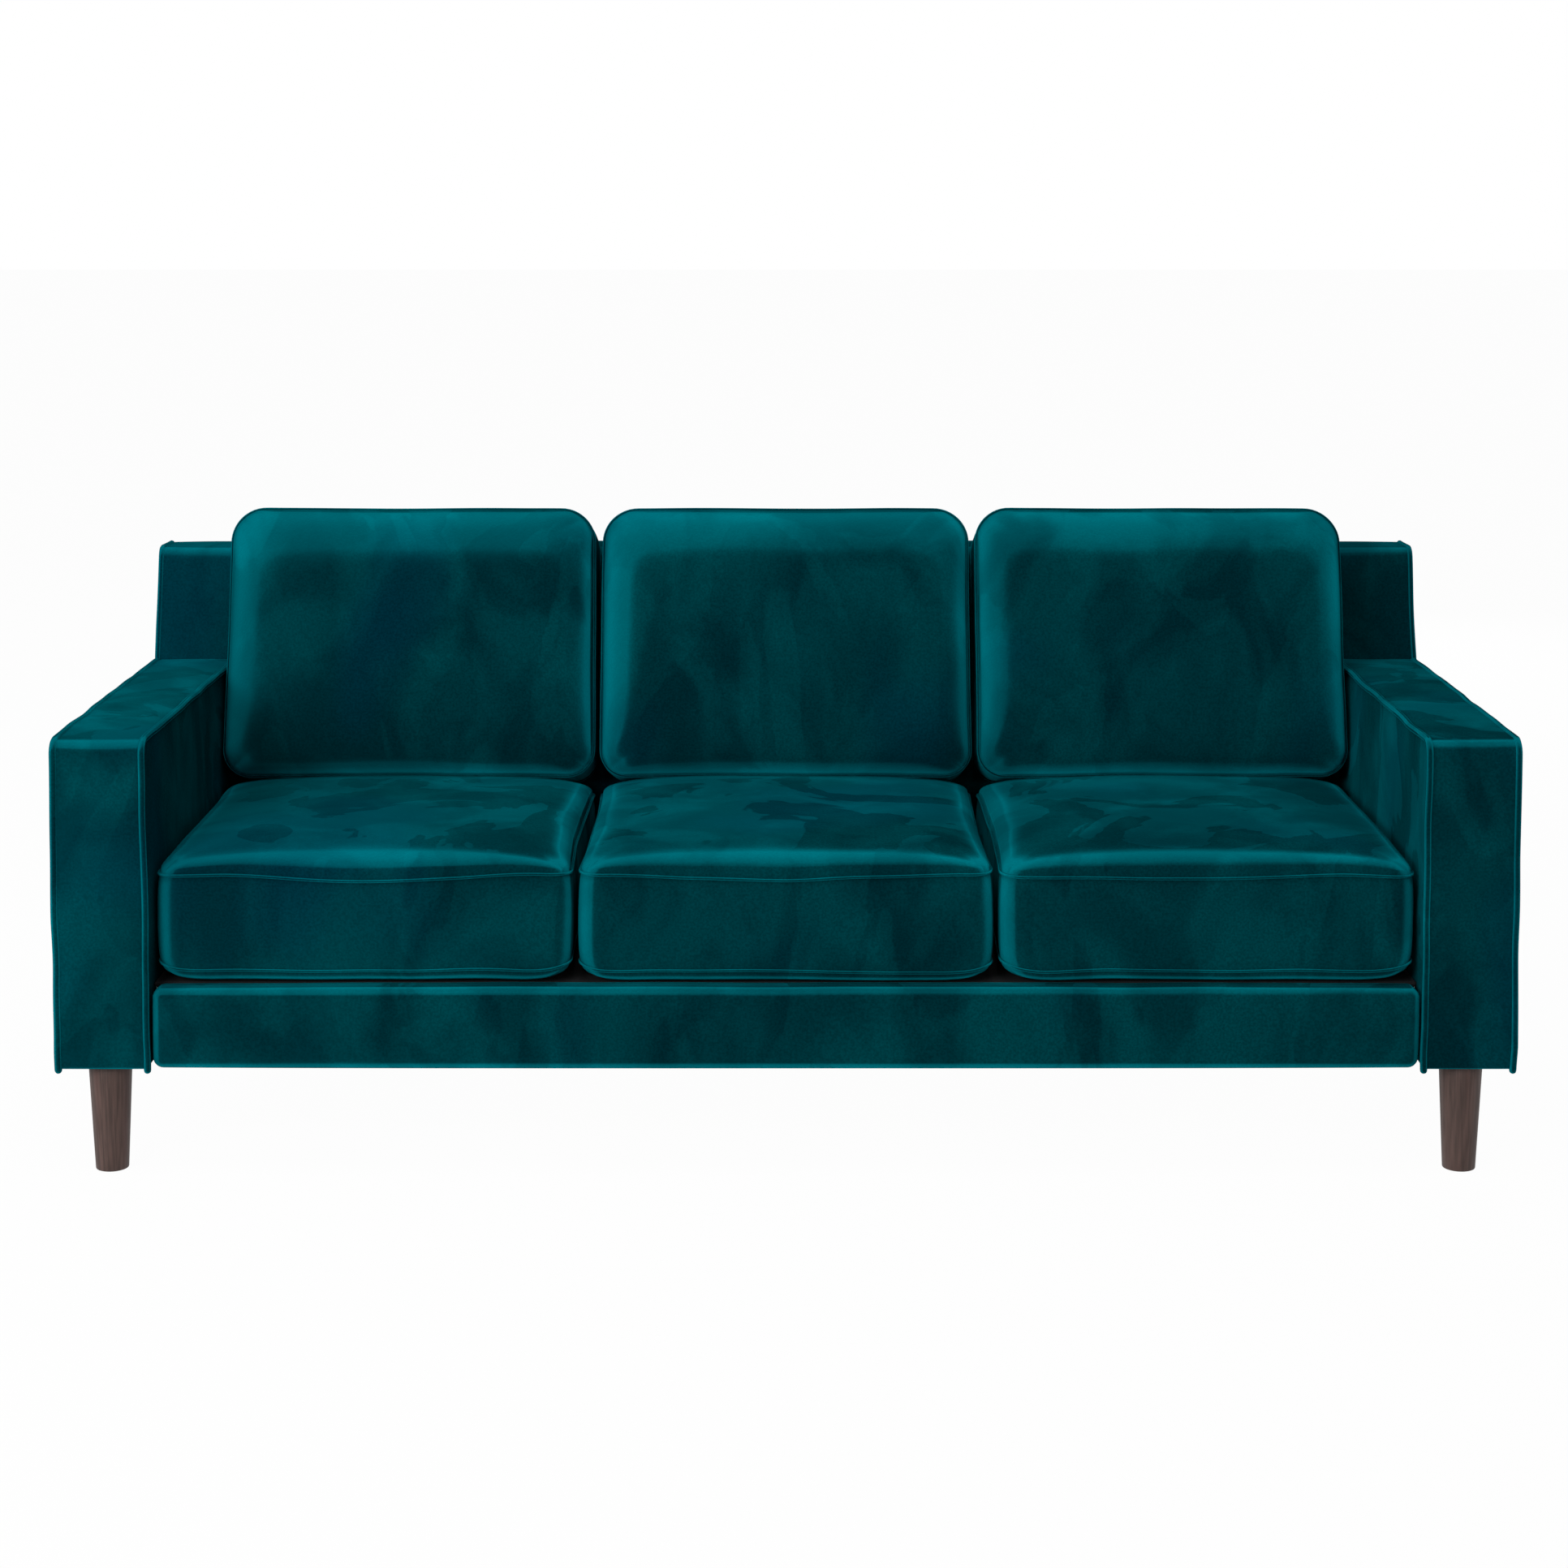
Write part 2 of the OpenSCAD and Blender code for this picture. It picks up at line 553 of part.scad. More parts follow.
// A back cushion lies against the leaning back and rests on the rear shoulder of the seat cushion
back_half = [(pitch - back_gap) / 2, back_box_h / 2];
back_seam_gap = rest_gap + back_belly;
back_reach = (back_seam_gap + back_box_t) / cos(rake);
rest_steps = 12;
rest_front = back_front(seat_top(seat_middle_d)) - back_reach;
rest_rear = seat_middle_d + seat_half[1];
back_bottom_z = box_swell + rest_gap + max([for (k = [0:rest_steps])
    let(run = (rest_rear - rest_front) * k / rest_steps) seat_top(rest_front + run) + run * tan(rake)]);
back_middle = [back_front(back_bottom_z) - back_reach, back_bottom_z]
    + back_half[1] * [sin(rake), cos(rake)] + back_box_t / 2 * [cos(rake), -sin(rake)];
module leaned(i)
    translate([seat_centres[i], back_middle[0], back_middle[1]]) rotate([-rake, 0, 0]) children();
back_foam_half = [back_half[0] - wrap_t, (back_box_t - wrap_t) / 2, back_half[1] - wrap_t];
module back_foam_block(i, gap) leaned(i)
    board(-back_foam_half - [gap, gap, gap], back_foam_half + [gap, gap, gap]);
module back_cushion_cover(i) placed(velvet) difference() {
    leaned(i) rotate([90, 0, 0]) cushion(cushion_points(
        back_half - [box_swell, 0], back_cushion_r, back_box_t, back_crown, back_belly, back_crown_power));
    back_foam_block(i, fit);
}
module back_cushion_foam(i) placed(fibre) back_foam_block(i, 0);

leg(leg_places[0]);  // leg_front_left
leg(leg_places[1]);  // leg_front_right
leg(leg_places[2]);  // leg_rear_left
leg(leg_places[3]);  // leg_rear_right
leg_bolts();
leg_t_nuts();
leg_glides();
arm_cover("left");  // arm_left_cover
arm_padding("left");  // arm_left_padding
arm_front_post("left");  // arm_left_front_post
arm_rear_post("left");  // arm_left_rear_post
arm_top_rail("left");  // arm_left_top_rail
arm_bottom_board("left");  // arm_left_bottom_board
arm_bolt_rail("left");  // arm_left_bolt_rail
arm_cover("right");  // arm_right_cover
arm_padding("right");  // arm_right_padding
arm_front_post("right");  // arm_right_front_post
arm_rear_post("right");  // arm_right_rear_post
arm_top_rail("right");  // arm_right_top_rail
arm_bottom_board("right");  // arm_right_bottom_board
arm_bolt_rail("right");  // arm_right_bolt_rail
arm_side_panels();
apron_cover();
apron_padding();
apron_board();
seat_front_rail();
seat_rear_rail();
seat_side_rail("left");  // seat_left_rail
seat_side_rail("right");  // seat_right_rail
seat_cross_rails();
seat_corner_blocks();
seat_webbing_long();
seat_webbing_cross();
deck_pad();
deck_cloth();
dust_cover();
back_cover();
back_padding();
back_ribs();
back_top_rail();
back_middle_rail();
back_bolt_rail();
back_bottom_board();
back_rear_panel();
back_webbing();
frame_bolts();
frame_t_nuts();
seat_cushion_cover(0);  // seat_cushion_left_cover
seat_cushion_cover(1);  // seat_cushion_middle_cover
seat_cushion_cover(2);  // seat_cushion_right_cover
seat_cushion_foam(0);  // seat_cushion_left_foam
seat_cushion_foam(1);  // seat_cushion_middle_foam
seat_cushion_foam(2);  // seat_cushion_right_foam
back_cushion_cover(0);  // back_cushion_left_cover
back_cushion_cover(1);  // back_cushion_middle_cover
back_cushion_cover(2);  // back_cushion_right_cover
back_cushion_foam(0);  // back_cushion_left_foam
back_cushion_foam(1);  // back_cushion_middle_foam
back_cushion_foam(2);  // back_cushion_right_foam
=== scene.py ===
"""The looks of a three-seat velvet sofa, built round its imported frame.

Metres, in the frame's own axes: X runs along the seat, the front faces -Y, and Z is up from the floor.
Left and right are as seen by someone who stands in front of the sofa.
"""

import json
import logging
import math
from collections.abc import Iterable, Sequence
from dataclasses import dataclass
from enum import Enum
from functools import cache, cached_property, reduce

import bmesh
import bpy
from bmesh.types import BMesh, BMEdge, BMVert
from bpy.types import Material, NodeSocket, NodeTree, Object, ShaderNode
from mathutils import Matrix, Vector, noise


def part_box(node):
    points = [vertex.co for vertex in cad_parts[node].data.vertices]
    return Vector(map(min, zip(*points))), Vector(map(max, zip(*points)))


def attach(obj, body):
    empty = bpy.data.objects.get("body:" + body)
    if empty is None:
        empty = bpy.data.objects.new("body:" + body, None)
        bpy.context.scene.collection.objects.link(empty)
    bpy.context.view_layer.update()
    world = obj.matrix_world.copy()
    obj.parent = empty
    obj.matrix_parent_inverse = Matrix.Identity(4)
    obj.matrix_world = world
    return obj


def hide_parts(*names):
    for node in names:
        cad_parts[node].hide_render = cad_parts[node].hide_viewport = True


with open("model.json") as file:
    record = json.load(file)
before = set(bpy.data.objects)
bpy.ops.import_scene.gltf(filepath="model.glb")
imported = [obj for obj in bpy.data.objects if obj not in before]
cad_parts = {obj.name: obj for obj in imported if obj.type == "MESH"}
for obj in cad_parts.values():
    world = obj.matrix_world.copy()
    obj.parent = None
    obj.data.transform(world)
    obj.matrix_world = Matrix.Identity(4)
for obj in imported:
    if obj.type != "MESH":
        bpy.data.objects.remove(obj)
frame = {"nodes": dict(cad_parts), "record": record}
log = logging.getLogger("sofa")

Pair = tuple[float, float]
Range = Pair
Triple = tuple[float, float, float]
Colour = Triple
FULL_TURN = 2 * math.pi
TINY = 1e-6
# Blender seeds its vector noise by the clock unless it is told a seed
CLOTH_SEED = 7
MERGE_REACH = 1e-5
# The stretch in which most of a cloud's values lie
MOST_CLOUD: Range = (0.3, 0.7)
# How far apart the waves of Blender's wave texture lie at a scale of 1
WAVE_PITCH = 0.314


class Slot(Enum):
    """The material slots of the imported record."""

    VELVET = "velvet"
    FOAM = "cushion_foam"
    PADDING = "padding"
    WEBBING = "webbing"
    LINING = "lining"
    WALNUT = "walnut"
    FRAME_WOOD = "frame_wood"
    HARDBOARD = "hardboard"
    STEEL = "bolt_steel"
    GLIDE = "glide_felt"


class Side(Enum):
    """The two ends of the sofa, with the sign of X there."""

    LEFT = -1
    RIGHT = 1


class Seat(Enum):
    """The three places to sit, from left to right, each with the number that varies its cloth."""

    LEFT = 1
    MIDDLE = 2
    RIGHT = 3


@dataclass(frozen=True)
class Clouds:
    """A stretch of noise: clouds per metre along each axis, octaves, distortion and place."""

    scale: Triple
    detail: float = 2
    twist: float = 0
    shift: float = 0


class Shader:
    """One Principled material that is put together from procedural nodes."""

    def __init__(self, name: str) -> None:
        """Starts the material.

        Args:
            name: Name of the material.
        """
        self.material = bpy.data.materials.new(name)
        self.material.use_nodes = True
        self.tree = self.material.node_tree
        self.principled = self.tree.nodes["Principled BSDF"]
        self.place = self.node("ShaderNodeTexCoord").outputs["Object"]

    def node(self, kind: str, **settings: object) -> ShaderNode:
        """Adds a node.

        Args:
            kind: Blender's name of the node type.
            **settings: Attributes that are set on it.

        Returns:
            The new node.
        """
        made = self.tree.nodes.new(kind)
        for key, value in settings.items():
            setattr(made, key, value)
        return made

    def feed(self, socket: NodeSocket, value: object) -> None:
        """Links an input to an output, or sets its value.

        Args:
            socket: The input.
            value: An output socket, a number, a vector or a colour.
        """
        if isinstance(value, NodeSocket):
            self.tree.links.new(value, socket)
        elif socket.type == "RGBA":
            socket.default_value = (*value, 1.0)
        else:
            socket.default_value = value

    def clouds(self, clouds: Clouds) -> NodeSocket:
        """Adds noise.

        Args:
            clouds: The stretch of noise.

        Returns:
            The value, from 0 to 1.
        """
        mapping = self.node("ShaderNodeMapping")
        self.feed(mapping.inputs["Vector"], self.place)
        self.feed(mapping.inputs["Scale"], clouds.scale)
        self.feed(mapping.inputs["Location"], (clouds.shift,) * 3)
        texture = self.node("ShaderNodeTexNoise")
        self.feed(texture.inputs["Vector"], mapping.outputs["Vector"])
        self.feed(texture.inputs["Scale"], 1.0)
        self.feed(texture.inputs["Detail"], clouds.detail)
        self.feed(texture.inputs["Distortion"], clouds.twist)
        return texture.outputs["Fac"]

    def ranged(self, value: object, span: Range, onto: Range = (0, 1)) -> NodeSocket:
        """Maps a range of values smoothly onto another.

        Args:
            value: The value.
            span: The two values that become the ends of the other range.
            onto: The other range.

        Returns:
            The mapped value.
        """
        ramp = self.node("ShaderNodeMapRange", interpolation_type="SMOOTHSTEP")
        names = ("Value", "From Min", "From Max", "To Min", "To Max")
        for name, number in zip(names, (value, *span, *onto)):
            self.feed(ramp.inputs[name], number)
        return ramp.outputs["Result"]

    def combined(self, kind: str, operation: str, values: Sequence[object]) -> NodeSocket:
        """Combines values by a node that calculates.

        Args:
            kind: Blender's name of the node type.
            operation: The node's operation.
            values: Numbers, vectors or sockets, in the order of its inputs.

        Returns:
            The result.
        """
        made = self.node(kind, operation=operation)
        for socket, value in zip(made.inputs, values):
            self.feed(socket, value)
        return made.outputs[0]

    def maths(self, operation: str, *values: object) -> NodeSocket:
        """Combines numbers by the named operation."""
        return self.combined("ShaderNodeMath", operation, values)

    def vectors(self, operation: str, *values: object) -> NodeSocket:
        """Combines vectors by the named operation."""
        return self.combined("ShaderNodeVectorMath", operation, values)

    def times(self, *factors: object) -> NodeSocket:
        """Multiplies numbers."""
        return reduce(lambda one, other: self.maths("MULTIPLY", one, other), factors)

    def weighed(self, first: NodeSocket, second: NodeSocket, share: float) -> NodeSocket:
        """Adds two values, where the second one has the share and the first the rest."""
        return self.maths("ADD", self.times(first, 1 - share), self.times(second, share))

    def blended(self, share: object, first: object, second: object, blend: str = "MIX") -> NodeSocket:
        """Blends two colours.

        Args:
            share: Share of the second colour.
            first: A colour or a colour socket.
            second: A colour or a colour socket.
            blend: Blend mode of the Mix node.

        Returns:
            The blended colour.
        """
        mix = self.node("ShaderNodeMix", data_type="RGBA", blend_type=blend)
        first_input, second_input = (socket for socket in mix.inputs if socket.type == "RGBA")
        self.feed(mix.inputs["Factor"], share)
        self.feed(first_input, first)
        self.feed(second_input, second)
        return next(socket for socket in mix.outputs if socket.type == "RGBA")

    def bumped(self, height: NodeSocket, distance: float, strength: float = 1,
               below: NodeSocket | None = None) -> NodeSocket:
        """Turns heights into a normal.

        Args:
            height: Heights from 0 to 1.
            distance: What a height of 1 stands for, in metres.
            strength: Share of the bump that shows.
            below: Normal of a coarser bump that this one lies on.

        Returns:
            The bumped normal.
        """
        bump = self.node("ShaderNodeBump")
        self.feed(bump.inputs["Height"], height)
        self.feed(bump.inputs["Distance"], distance)
        self.feed(bump.inputs["Strength"], strength)
        if below:
            self.feed(bump.inputs["Normal"], below)
        return bump.outputs["Normal"]

    def part(self, vector: NodeSocket, axis: str) -> NodeSocket:
        """Gives one part of a vector.

        Args:
            vector: The vector.
            axis: X, Y or Z.

        Returns:
            The part.
        """
        split = self.node("ShaderNodeSeparateXYZ")
        self.feed(split.inputs["Vector"], vector)
        return split.outputs[axis]

    def steepest(self, normal: NodeSocket) -> NodeSocket:
        """Gives the largest part of a normal, which is 1 on faces square to an axis.

        Args:
            normal: The normal.

        Returns:
            The size of its largest part.
        """
        size = self.vectors("ABSOLUTE", normal)
        parts = [self.part(size, axis) for axis in "XYZ"]
        return reduce(lambda one, other: self.maths("MAXIMUM", one, other), parts)

    def drift(self, clouds: Clouds, amount: float, middle: Triple) -> NodeSocket:
        """Makes a vector that wanders round a middle.

        Args:
            clouds: The noise that it follows.
            amount: How far it wanders.
            middle: What it wanders round.

        Returns:
            The vector.
        """
        cloud = self.clouds(clouds).node.outputs["Color"]
        lowest = tuple(part - amount for part in middle)
        return self.vectors("MULTIPLY_ADD", cloud, (2 * amount,) * 3, lowest)

    def leaned(self, normal: NodeSocket, amount: NodeSocket, drift: NodeSocket) -> NodeSocket:
        """Leans a normal to the sofa's front, as brushed pile does.

        Args:
            normal: The normal.
            amount: Tangent of the lean where the front is square to the normal.
            drift: A further lean any way.

        Returns:
            The leaned normal.
        """
        to_front = (0, -1, 0)
        pulled = self.vectors("MULTIPLY_ADD", amount, to_front, normal)
        return self.vectors("NORMALIZE", self.vectors("ADD", pulled, drift))

    def grey(self, value: NodeSocket) -> NodeSocket:
        """Makes a grey colour of a value.

        Args:
            value: The value.

        Returns:
            The colour.
        """
        joined = self.node("ShaderNodeCombineColor")
        for channel in joined.inputs:
            self.feed(channel, value)
        return joined.outputs["Color"]

    def set(self, **inputs: object) -> None:
        """Feeds inputs of the Principled node, which are named with underscores for spaces."""
        for name, value in inputs.items():
            self.feed(self.principled.inputs[name.replace("_", " ")], value)


@dataclass(frozen=True)
class Finish:
    """A surface finish, which becomes one material when it is first used."""

    name: str

    @cached_property
    def material(self) -> Material:
        """The finish's material."""
        shader = Shader(self.name)
        self.dress(shader)
        return shader.material

    def dress(self, shader: Shader) -> None:
        """Puts the finish's nodes together.

        Args:
            shader: The material under way.
        """
        raise NotImplementedError


@dataclass(frozen=True)
class Velvet(Finish):
    """Short-pile velvet: dark where it is seen square on, bright where it turns away, brushed in patches.

    The pile leans up and to the left all over, and on flat faces to the front as well. It leans further to
    the front in the brushed strokes, and it is the change of its lean that makes a patch show.
    """

    # The cloth's own colour, which lies under the sheen
    deep: Colour = (0.0, 0.011, 0.015)
    plain: Colour = (0.0, 0.030, 0.036)
    bluish: Colour = (0.0, 0.015, 0.028)
    bluish_most: float = 0.6
    roughness: float = 0.9
    # The sheen's colour, spread and strength, by how far the pile turns away from the eye
    glow: Colour = (0.0, 0.81, 1.0)
    glow_spread: float = 0.6
    glow_square_on: float = 0.12
    glow_edge_on: float = 0.22
    glow_rise: Range = (0.02, 0.2)
    glow_fall: Range = (0.3, 0.85)
    patchiness: float = 0.26
    patch_edge: Range = (0.1, 0.9)
    # The pile's lean: all over, to the front on flat faces, and further there where it was brushed
    nap: Triple = (-0.24, 0.0, 0.19)
    lean: float = 1.22
    brushing: float = 0.5
    flat_faces: Range = (0.90, 0.99)
    rear_faces: Range = (-0.1, 0.5)
    wander: Clouds = Clouds((7, 7, 4), twist=0.5, shift=13.1)
    wander_reach: float = 0.14
    # Where the cloth was brushed, is worn light, and looks bluish
    strokes: Clouds = Clouds((4.6, 4.6, 2.6), detail=4, twist=1.2)
    stroke_edge: Range = (0.491, 0.512)
    stroke_share: float = 0.28
    blotches: Clouds = Clouds((8, 8, 4.5), detail=4, twist=0.7, shift=7.3)
    blotch_edge: Range = (0.36, 0.66)
    tints: Clouds = Clouds((3.1, 3.1, 2.2), shift=21.7)
    tint_edge: Range = (0.5, 0.68)
    # Its fine relief
    creases: Clouds = Clouds((26, 26, 26), twist=0.4)
    crease_depth: float = 0.0016
    crease_strength: float = 0.2
    pile: Clouds = Clouds((330, 330, 330), detail=3)
    pile_depth: float = 0.0004
    pile_strength: float = 0.45
    pile_tones: Range = (0.76, 1.24)

    def dress(self, shader: Shader) -> None:
        """Lays the pile over brushed strokes and soft blotches, under a teal sheen.

        Args:
            shader: The material under way.
        """
        strokes = shader.ranged(shader.clouds(self.strokes), self.stroke_edge)
        blotches = shader.ranged(shader.clouds(self.blotches), self.blotch_edge)
        worn = shader.weighed(blotches, strokes, self.stroke_share)
        pile = shader.clouds(self.pile)
        creases = shader.bumped(shader.clouds(self.creases), self.crease_depth, self.crease_strength,
                                self.leaned(shader, strokes))
        shader.set(
            Base_Color=self.toned(shader, worn, pile), Roughness=self.roughness, Specular_IOR_Level=0.0,
            Sheen_Weight=self.glowing(shader, worn, creases), Sheen_Roughness=self.glow_spread,
            Sheen_Tint=self.glow, Normal=shader.bumped(pile, self.pile_depth, self.pile_strength, creases),
        )

    def leaned(self, shader: Shader, strokes: NodeSocket) -> NodeSocket:
        """Leans the pile, but not to the front on faces that look to the rear.

        Args:
            shader: The material under way.
            strokes: Where the pile was brushed, from 0 to 1.

        Returns:
            The pile's direction, as a normal.
        """
        normal = shader.node("ShaderNodeNewGeometry").outputs["Normal"]
        flat = shader.ranged(shader.steepest(normal), self.flat_faces)
        ahead = shader.ranged(shader.part(normal, "Y"), self.rear_faces, (1, 0))
        brushed = shader.ranged(strokes, (0, 1), (self.lean, self.lean + self.brushing))
        wander = shader.drift(self.wander, self.wander_reach, self.nap)
        return shader.leaned(normal, shader.times(flat, brushed, ahead), wander)

    def toned(self, shader: Shader, worn: NodeSocket, pile: NodeSocket) -> NodeSocket:
        """Makes the cloth's own colour, which is seen under the sheen.

        Args:
            shader: The material under way.
            worn: How light the cloth is, from 0 to 1.
            pile: The fine speckle of the pile.

        Returns:
            The colour.
        """
        tone = shader.blended(worn, self.deep, self.plain)
        tint = shader.ranged(shader.clouds(self.tints), self.tint_edge, (0, self.bluish_most))
        tone = shader.blended(tint, tone, self.bluish)
        grain = shader.ranged(pile, MOST_CLOUD, self.pile_tones)
        return shader.blended(1.0, tone, shader.grey(grain), "MULTIPLY")

    def glowing(self, shader: Shader, worn: NodeSocket, normal: NodeSocket) -> NodeSocket:
        """Makes the sheen's strength, which rises as the pile turns away and falls again at the edge.

        Args:
            shader: The material under way.
            worn: How light the cloth is, from 0 to 1.
            normal: The pile's direction.

        Returns:
            The strength.
        """
        turned = shader.node("ShaderNodeLayerWeight")
        shader.feed(turned.inputs["Normal"], normal)
        away = turned.outputs["Facing"]
        rise = shader.ranged(away, self.glow_rise, (self.glow_square_on, 1))
        fall = shader.ranged(away, self.glow_fall, (1, self.glow_edge_on))
        return shader.times(rise, fall, shader.ranged(worn, self.patch_edge, (1 - self.patchiness, 1)))


@dataclass(frozen=True)
class Timber(Finish):
    """Wood with grain along one axis."""

    dark: Colour = (0.036, 0.020, 0.016)
    light: Colour = (0.082, 0.046, 0.038)
    warm: Colour = (0.082, 0.038, 0.032)
    # Streaks per metre along each axis, and how many times wider the broad figure's are
    grain: Triple = (260, 260, 7)
    figure_width: float = 6
    figure_share: float = 0.45
    contrast: Range = (0.36, 0.64)
    warm_edge: Range = (0.5, 0.7)
    warm_most: float = 0.6
    roughness: float = 0.52
    roughness_play: Range = (0.1, -0.06)
    shine: float = 0.35
    grain_depth: float = 0.0004
    grain_strength: float = 0.5

    def dress(self, shader: Shader) -> None:
        """Streaks the wood along its grain, with a warmer tone here and there.

        Args:
            shader: The material under way.
        """
        broad = tuple(value / self.figure_width for value in self.grain)
        fine = shader.clouds(Clouds(self.grain, detail=4, twist=0.3))
        figure = shader.clouds(Clouds(broad, detail=3, twist=0.8, shift=3.1))
        streaks = shader.weighed(fine, figure, self.figure_share)
        tone = shader.blended(shader.ranged(streaks, self.contrast), self.dark, self.light)
        patches = shader.clouds(Clouds(broad, detail=1, shift=9.4))
        warmth = shader.ranged(patches, self.warm_edge, (0, self.warm_most))
        roughness = tuple(self.roughness + play for play in self.roughness_play)
        shader.set(
            Base_Color=shader.blended(warmth, tone, self.warm),
            Roughness=shader.ranged(streaks, MOST_CLOUD, roughness), Specular_IOR_Level=self.shine,
            Normal=shader.bumped(fine, self.grain_depth, self.grain_strength),
        )


@dataclass(frozen=True)
class Fibrous(Finish):
    """Foam, fibre, felt or pressed board: one tone with pores or strands."""

    base: Colour = (0.8, 0.76, 0.62)
    shade: Colour = (0.6, 0.54, 0.42)
    pores: float = 900
    depth: float = 0.0006
    patches: Clouds = Clouds((9, 9, 9))
    patch_share: float = 0.3
    contrast: Range = (0.35, 0.6)
    roughness: float = 0.9
    shine: float = 0.2

    def dress(self, shader: Shader) -> None:
        """Sprinkles the tone with pores at two sizes.

        Args:
            shader: The material under way.
        """
        pores = shader.clouds(Clouds((self.pores,) * 3, detail=3))
        spread = shader.weighed(pores, shader.clouds(self.patches), self.patch_share)
        shader.set(
            Base_Color=shader.blended(shader.ranged(spread, self.contrast), self.shade, self.base),
            Roughness=self.roughness, Specular_IOR_Level=self.shine, Normal=shader.bumped(pores, self.depth),
        )


@dataclass(frozen=True)
class Woven(Finish):
    """Woven strap or thin cloth with crossing threads."""

    thread: Colour = (0.045, 0.044, 0.042)
    gap: Colour = (0.012, 0.012, 0.012)
    pitch: float = 0.0022
    depth: float = 0.0003
    wear: Clouds = Clouds((14, 14, 14))
    wear_tones: Range = (0.7, 1)
    roughness: float = 0.85
    shine: float = 0.25

    def dress(self, shader: Shader) -> None:
        """Crosses two sets of threads.

        Args:
            shader: The material under way.
        """
        threads = []
        for direction in ("X", "Y"):
            wave = shader.node("ShaderNodeTexWave", bands_direction=direction)
            shader.feed(wave.inputs["Vector"], shader.place)
            shader.feed(wave.inputs["Scale"], WAVE_PITCH / self.pitch)
            threads.append(wave.outputs["Fac"])
        weave = shader.times(*threads)
        wear = shader.ranged(shader.clouds(self.wear), MOST_CLOUD, self.wear_tones)
        shader.set(
            Base_Color=shader.blended(shader.times(weave, wear), self.gap, self.thread),
            Roughness=self.roughness, Specular_IOR_Level=self.shine, Normal=shader.bumped(weave, self.depth),
        )


@dataclass(frozen=True)
class Plated(Finish):
    """Zinc-plated steel with a cloudy polish."""

    base: Colour = (0.52, 0.54, 0.56)
    dim: float = 0.8
    polish: Clouds = Clouds((120, 120, 100), detail=3)
    roughness: Range = (0.28, 0.46)

    def dress(self, shader: Shader) -> None:
        """Clouds the plating's tone and gloss.

        Args:
            shader: The material under way.
        """
        cloudy = shader.clouds(self.polish)
        dimmed = tuple(self.dim * part for part in self.base)
        shader.set(Base_Color=shader.blended(cloudy, dimmed, self.base), Metallic=1.0,
                   Roughness=shader.ranged(cloudy, MOST_CLOUD, self.roughness))


FINISHES: dict[Slot, Finish] = {
    Slot.VELVET: Velvet("velvet"),
    Slot.FOAM: Fibrous("cushion_foam", base=(0.83, 0.76, 0.53), shade=(0.62, 0.54, 0.33)),
    Slot.PADDING: Fibrous("fibre_padding", base=(0.82, 0.81, 0.77), shade=(0.6, 0.59, 0.55), pores=300),
    Slot.WEBBING: Woven("webbing"),
    Slot.LINING: Woven("lining", thread=(0.014, 0.014, 0.015), gap=(0.004, 0.004, 0.005), pitch=0.0009),
    Slot.WALNUT: Timber("walnut"),
    Slot.FRAME_WOOD: Timber("frame_wood", dark=(0.42, 0.27, 0.13), light=(0.62, 0.43, 0.23),
                            warm=(0.5, 0.33, 0.17), grain=(9, 240, 240), roughness=0.7),
    Slot.HARDBOARD: Fibrous("hardboard", base=(0.26, 0.15, 0.07), shade=(0.17, 0.09, 0.04), pores=420),
    Slot.STEEL: Plated("zinc_plate"),
    Slot.GLIDE: Fibrous("glide_felt", base=(0.02, 0.02, 0.021), shade=(0.007, 0.007, 0.007), pores=700),
}


@cache
def box_of(node: str) -> tuple[Vector, Vector]:
    """The low and high corners of a CAD node's box, measured once."""
    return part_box(node)


@cache
def centre_of(node: str) -> Vector:
    """The middle of a CAD node's box."""
    low, high = box_of(node)
    return (low + high) / 2


@cache
def size_of(node: str) -> Vector:
    """The size of a CAD node's box."""
    low, high = box_of(node)
    return high - low


def gridded_cube(cuts: Sequence[int]) -> BMesh:
    """A closed cube from -1 to 1 with a grid on its faces.

    Args:
        cuts: Cuts across the edges along X, Y and Z.

    Returns:
        The mesh.
    """
    mesh = bmesh.new()
    bmesh.ops.create_cube(mesh, size=2)
    for axis, count in enumerate(cuts):
        along = [edge for edge in mesh.edges if abs(edge.verts[0].co[axis] - edge.verts[1].co[axis]) > 1]
        bmesh.ops.subdivide_edges(mesh, edges=along, cuts=count, use_grid_fill=True)
    return mesh


def banded(share: float, half: float, band: float, steps: int, cuts: int) -> float:
    """Moves a grid line of a cube so that some steps lie in a band next to each end.

    Args:
        share: The line's place, from -1 to 1.
        half: Half the length that the grid is stretched to.
        band: Width of the band.
        steps: Steps in it.
        cuts: Cuts across the whole length.

    Returns:
        The line's place on the length.
    """
    cells = cuts + 1
    from_end = (1 - abs(share)) / 2 * cells
    if from_end < steps:
        depth = band * from_end / steps
    else:
        depth = band + (half - band) * (from_end - steps) / (cells / 2 - steps)
    return math.copysign(half - depth, share)


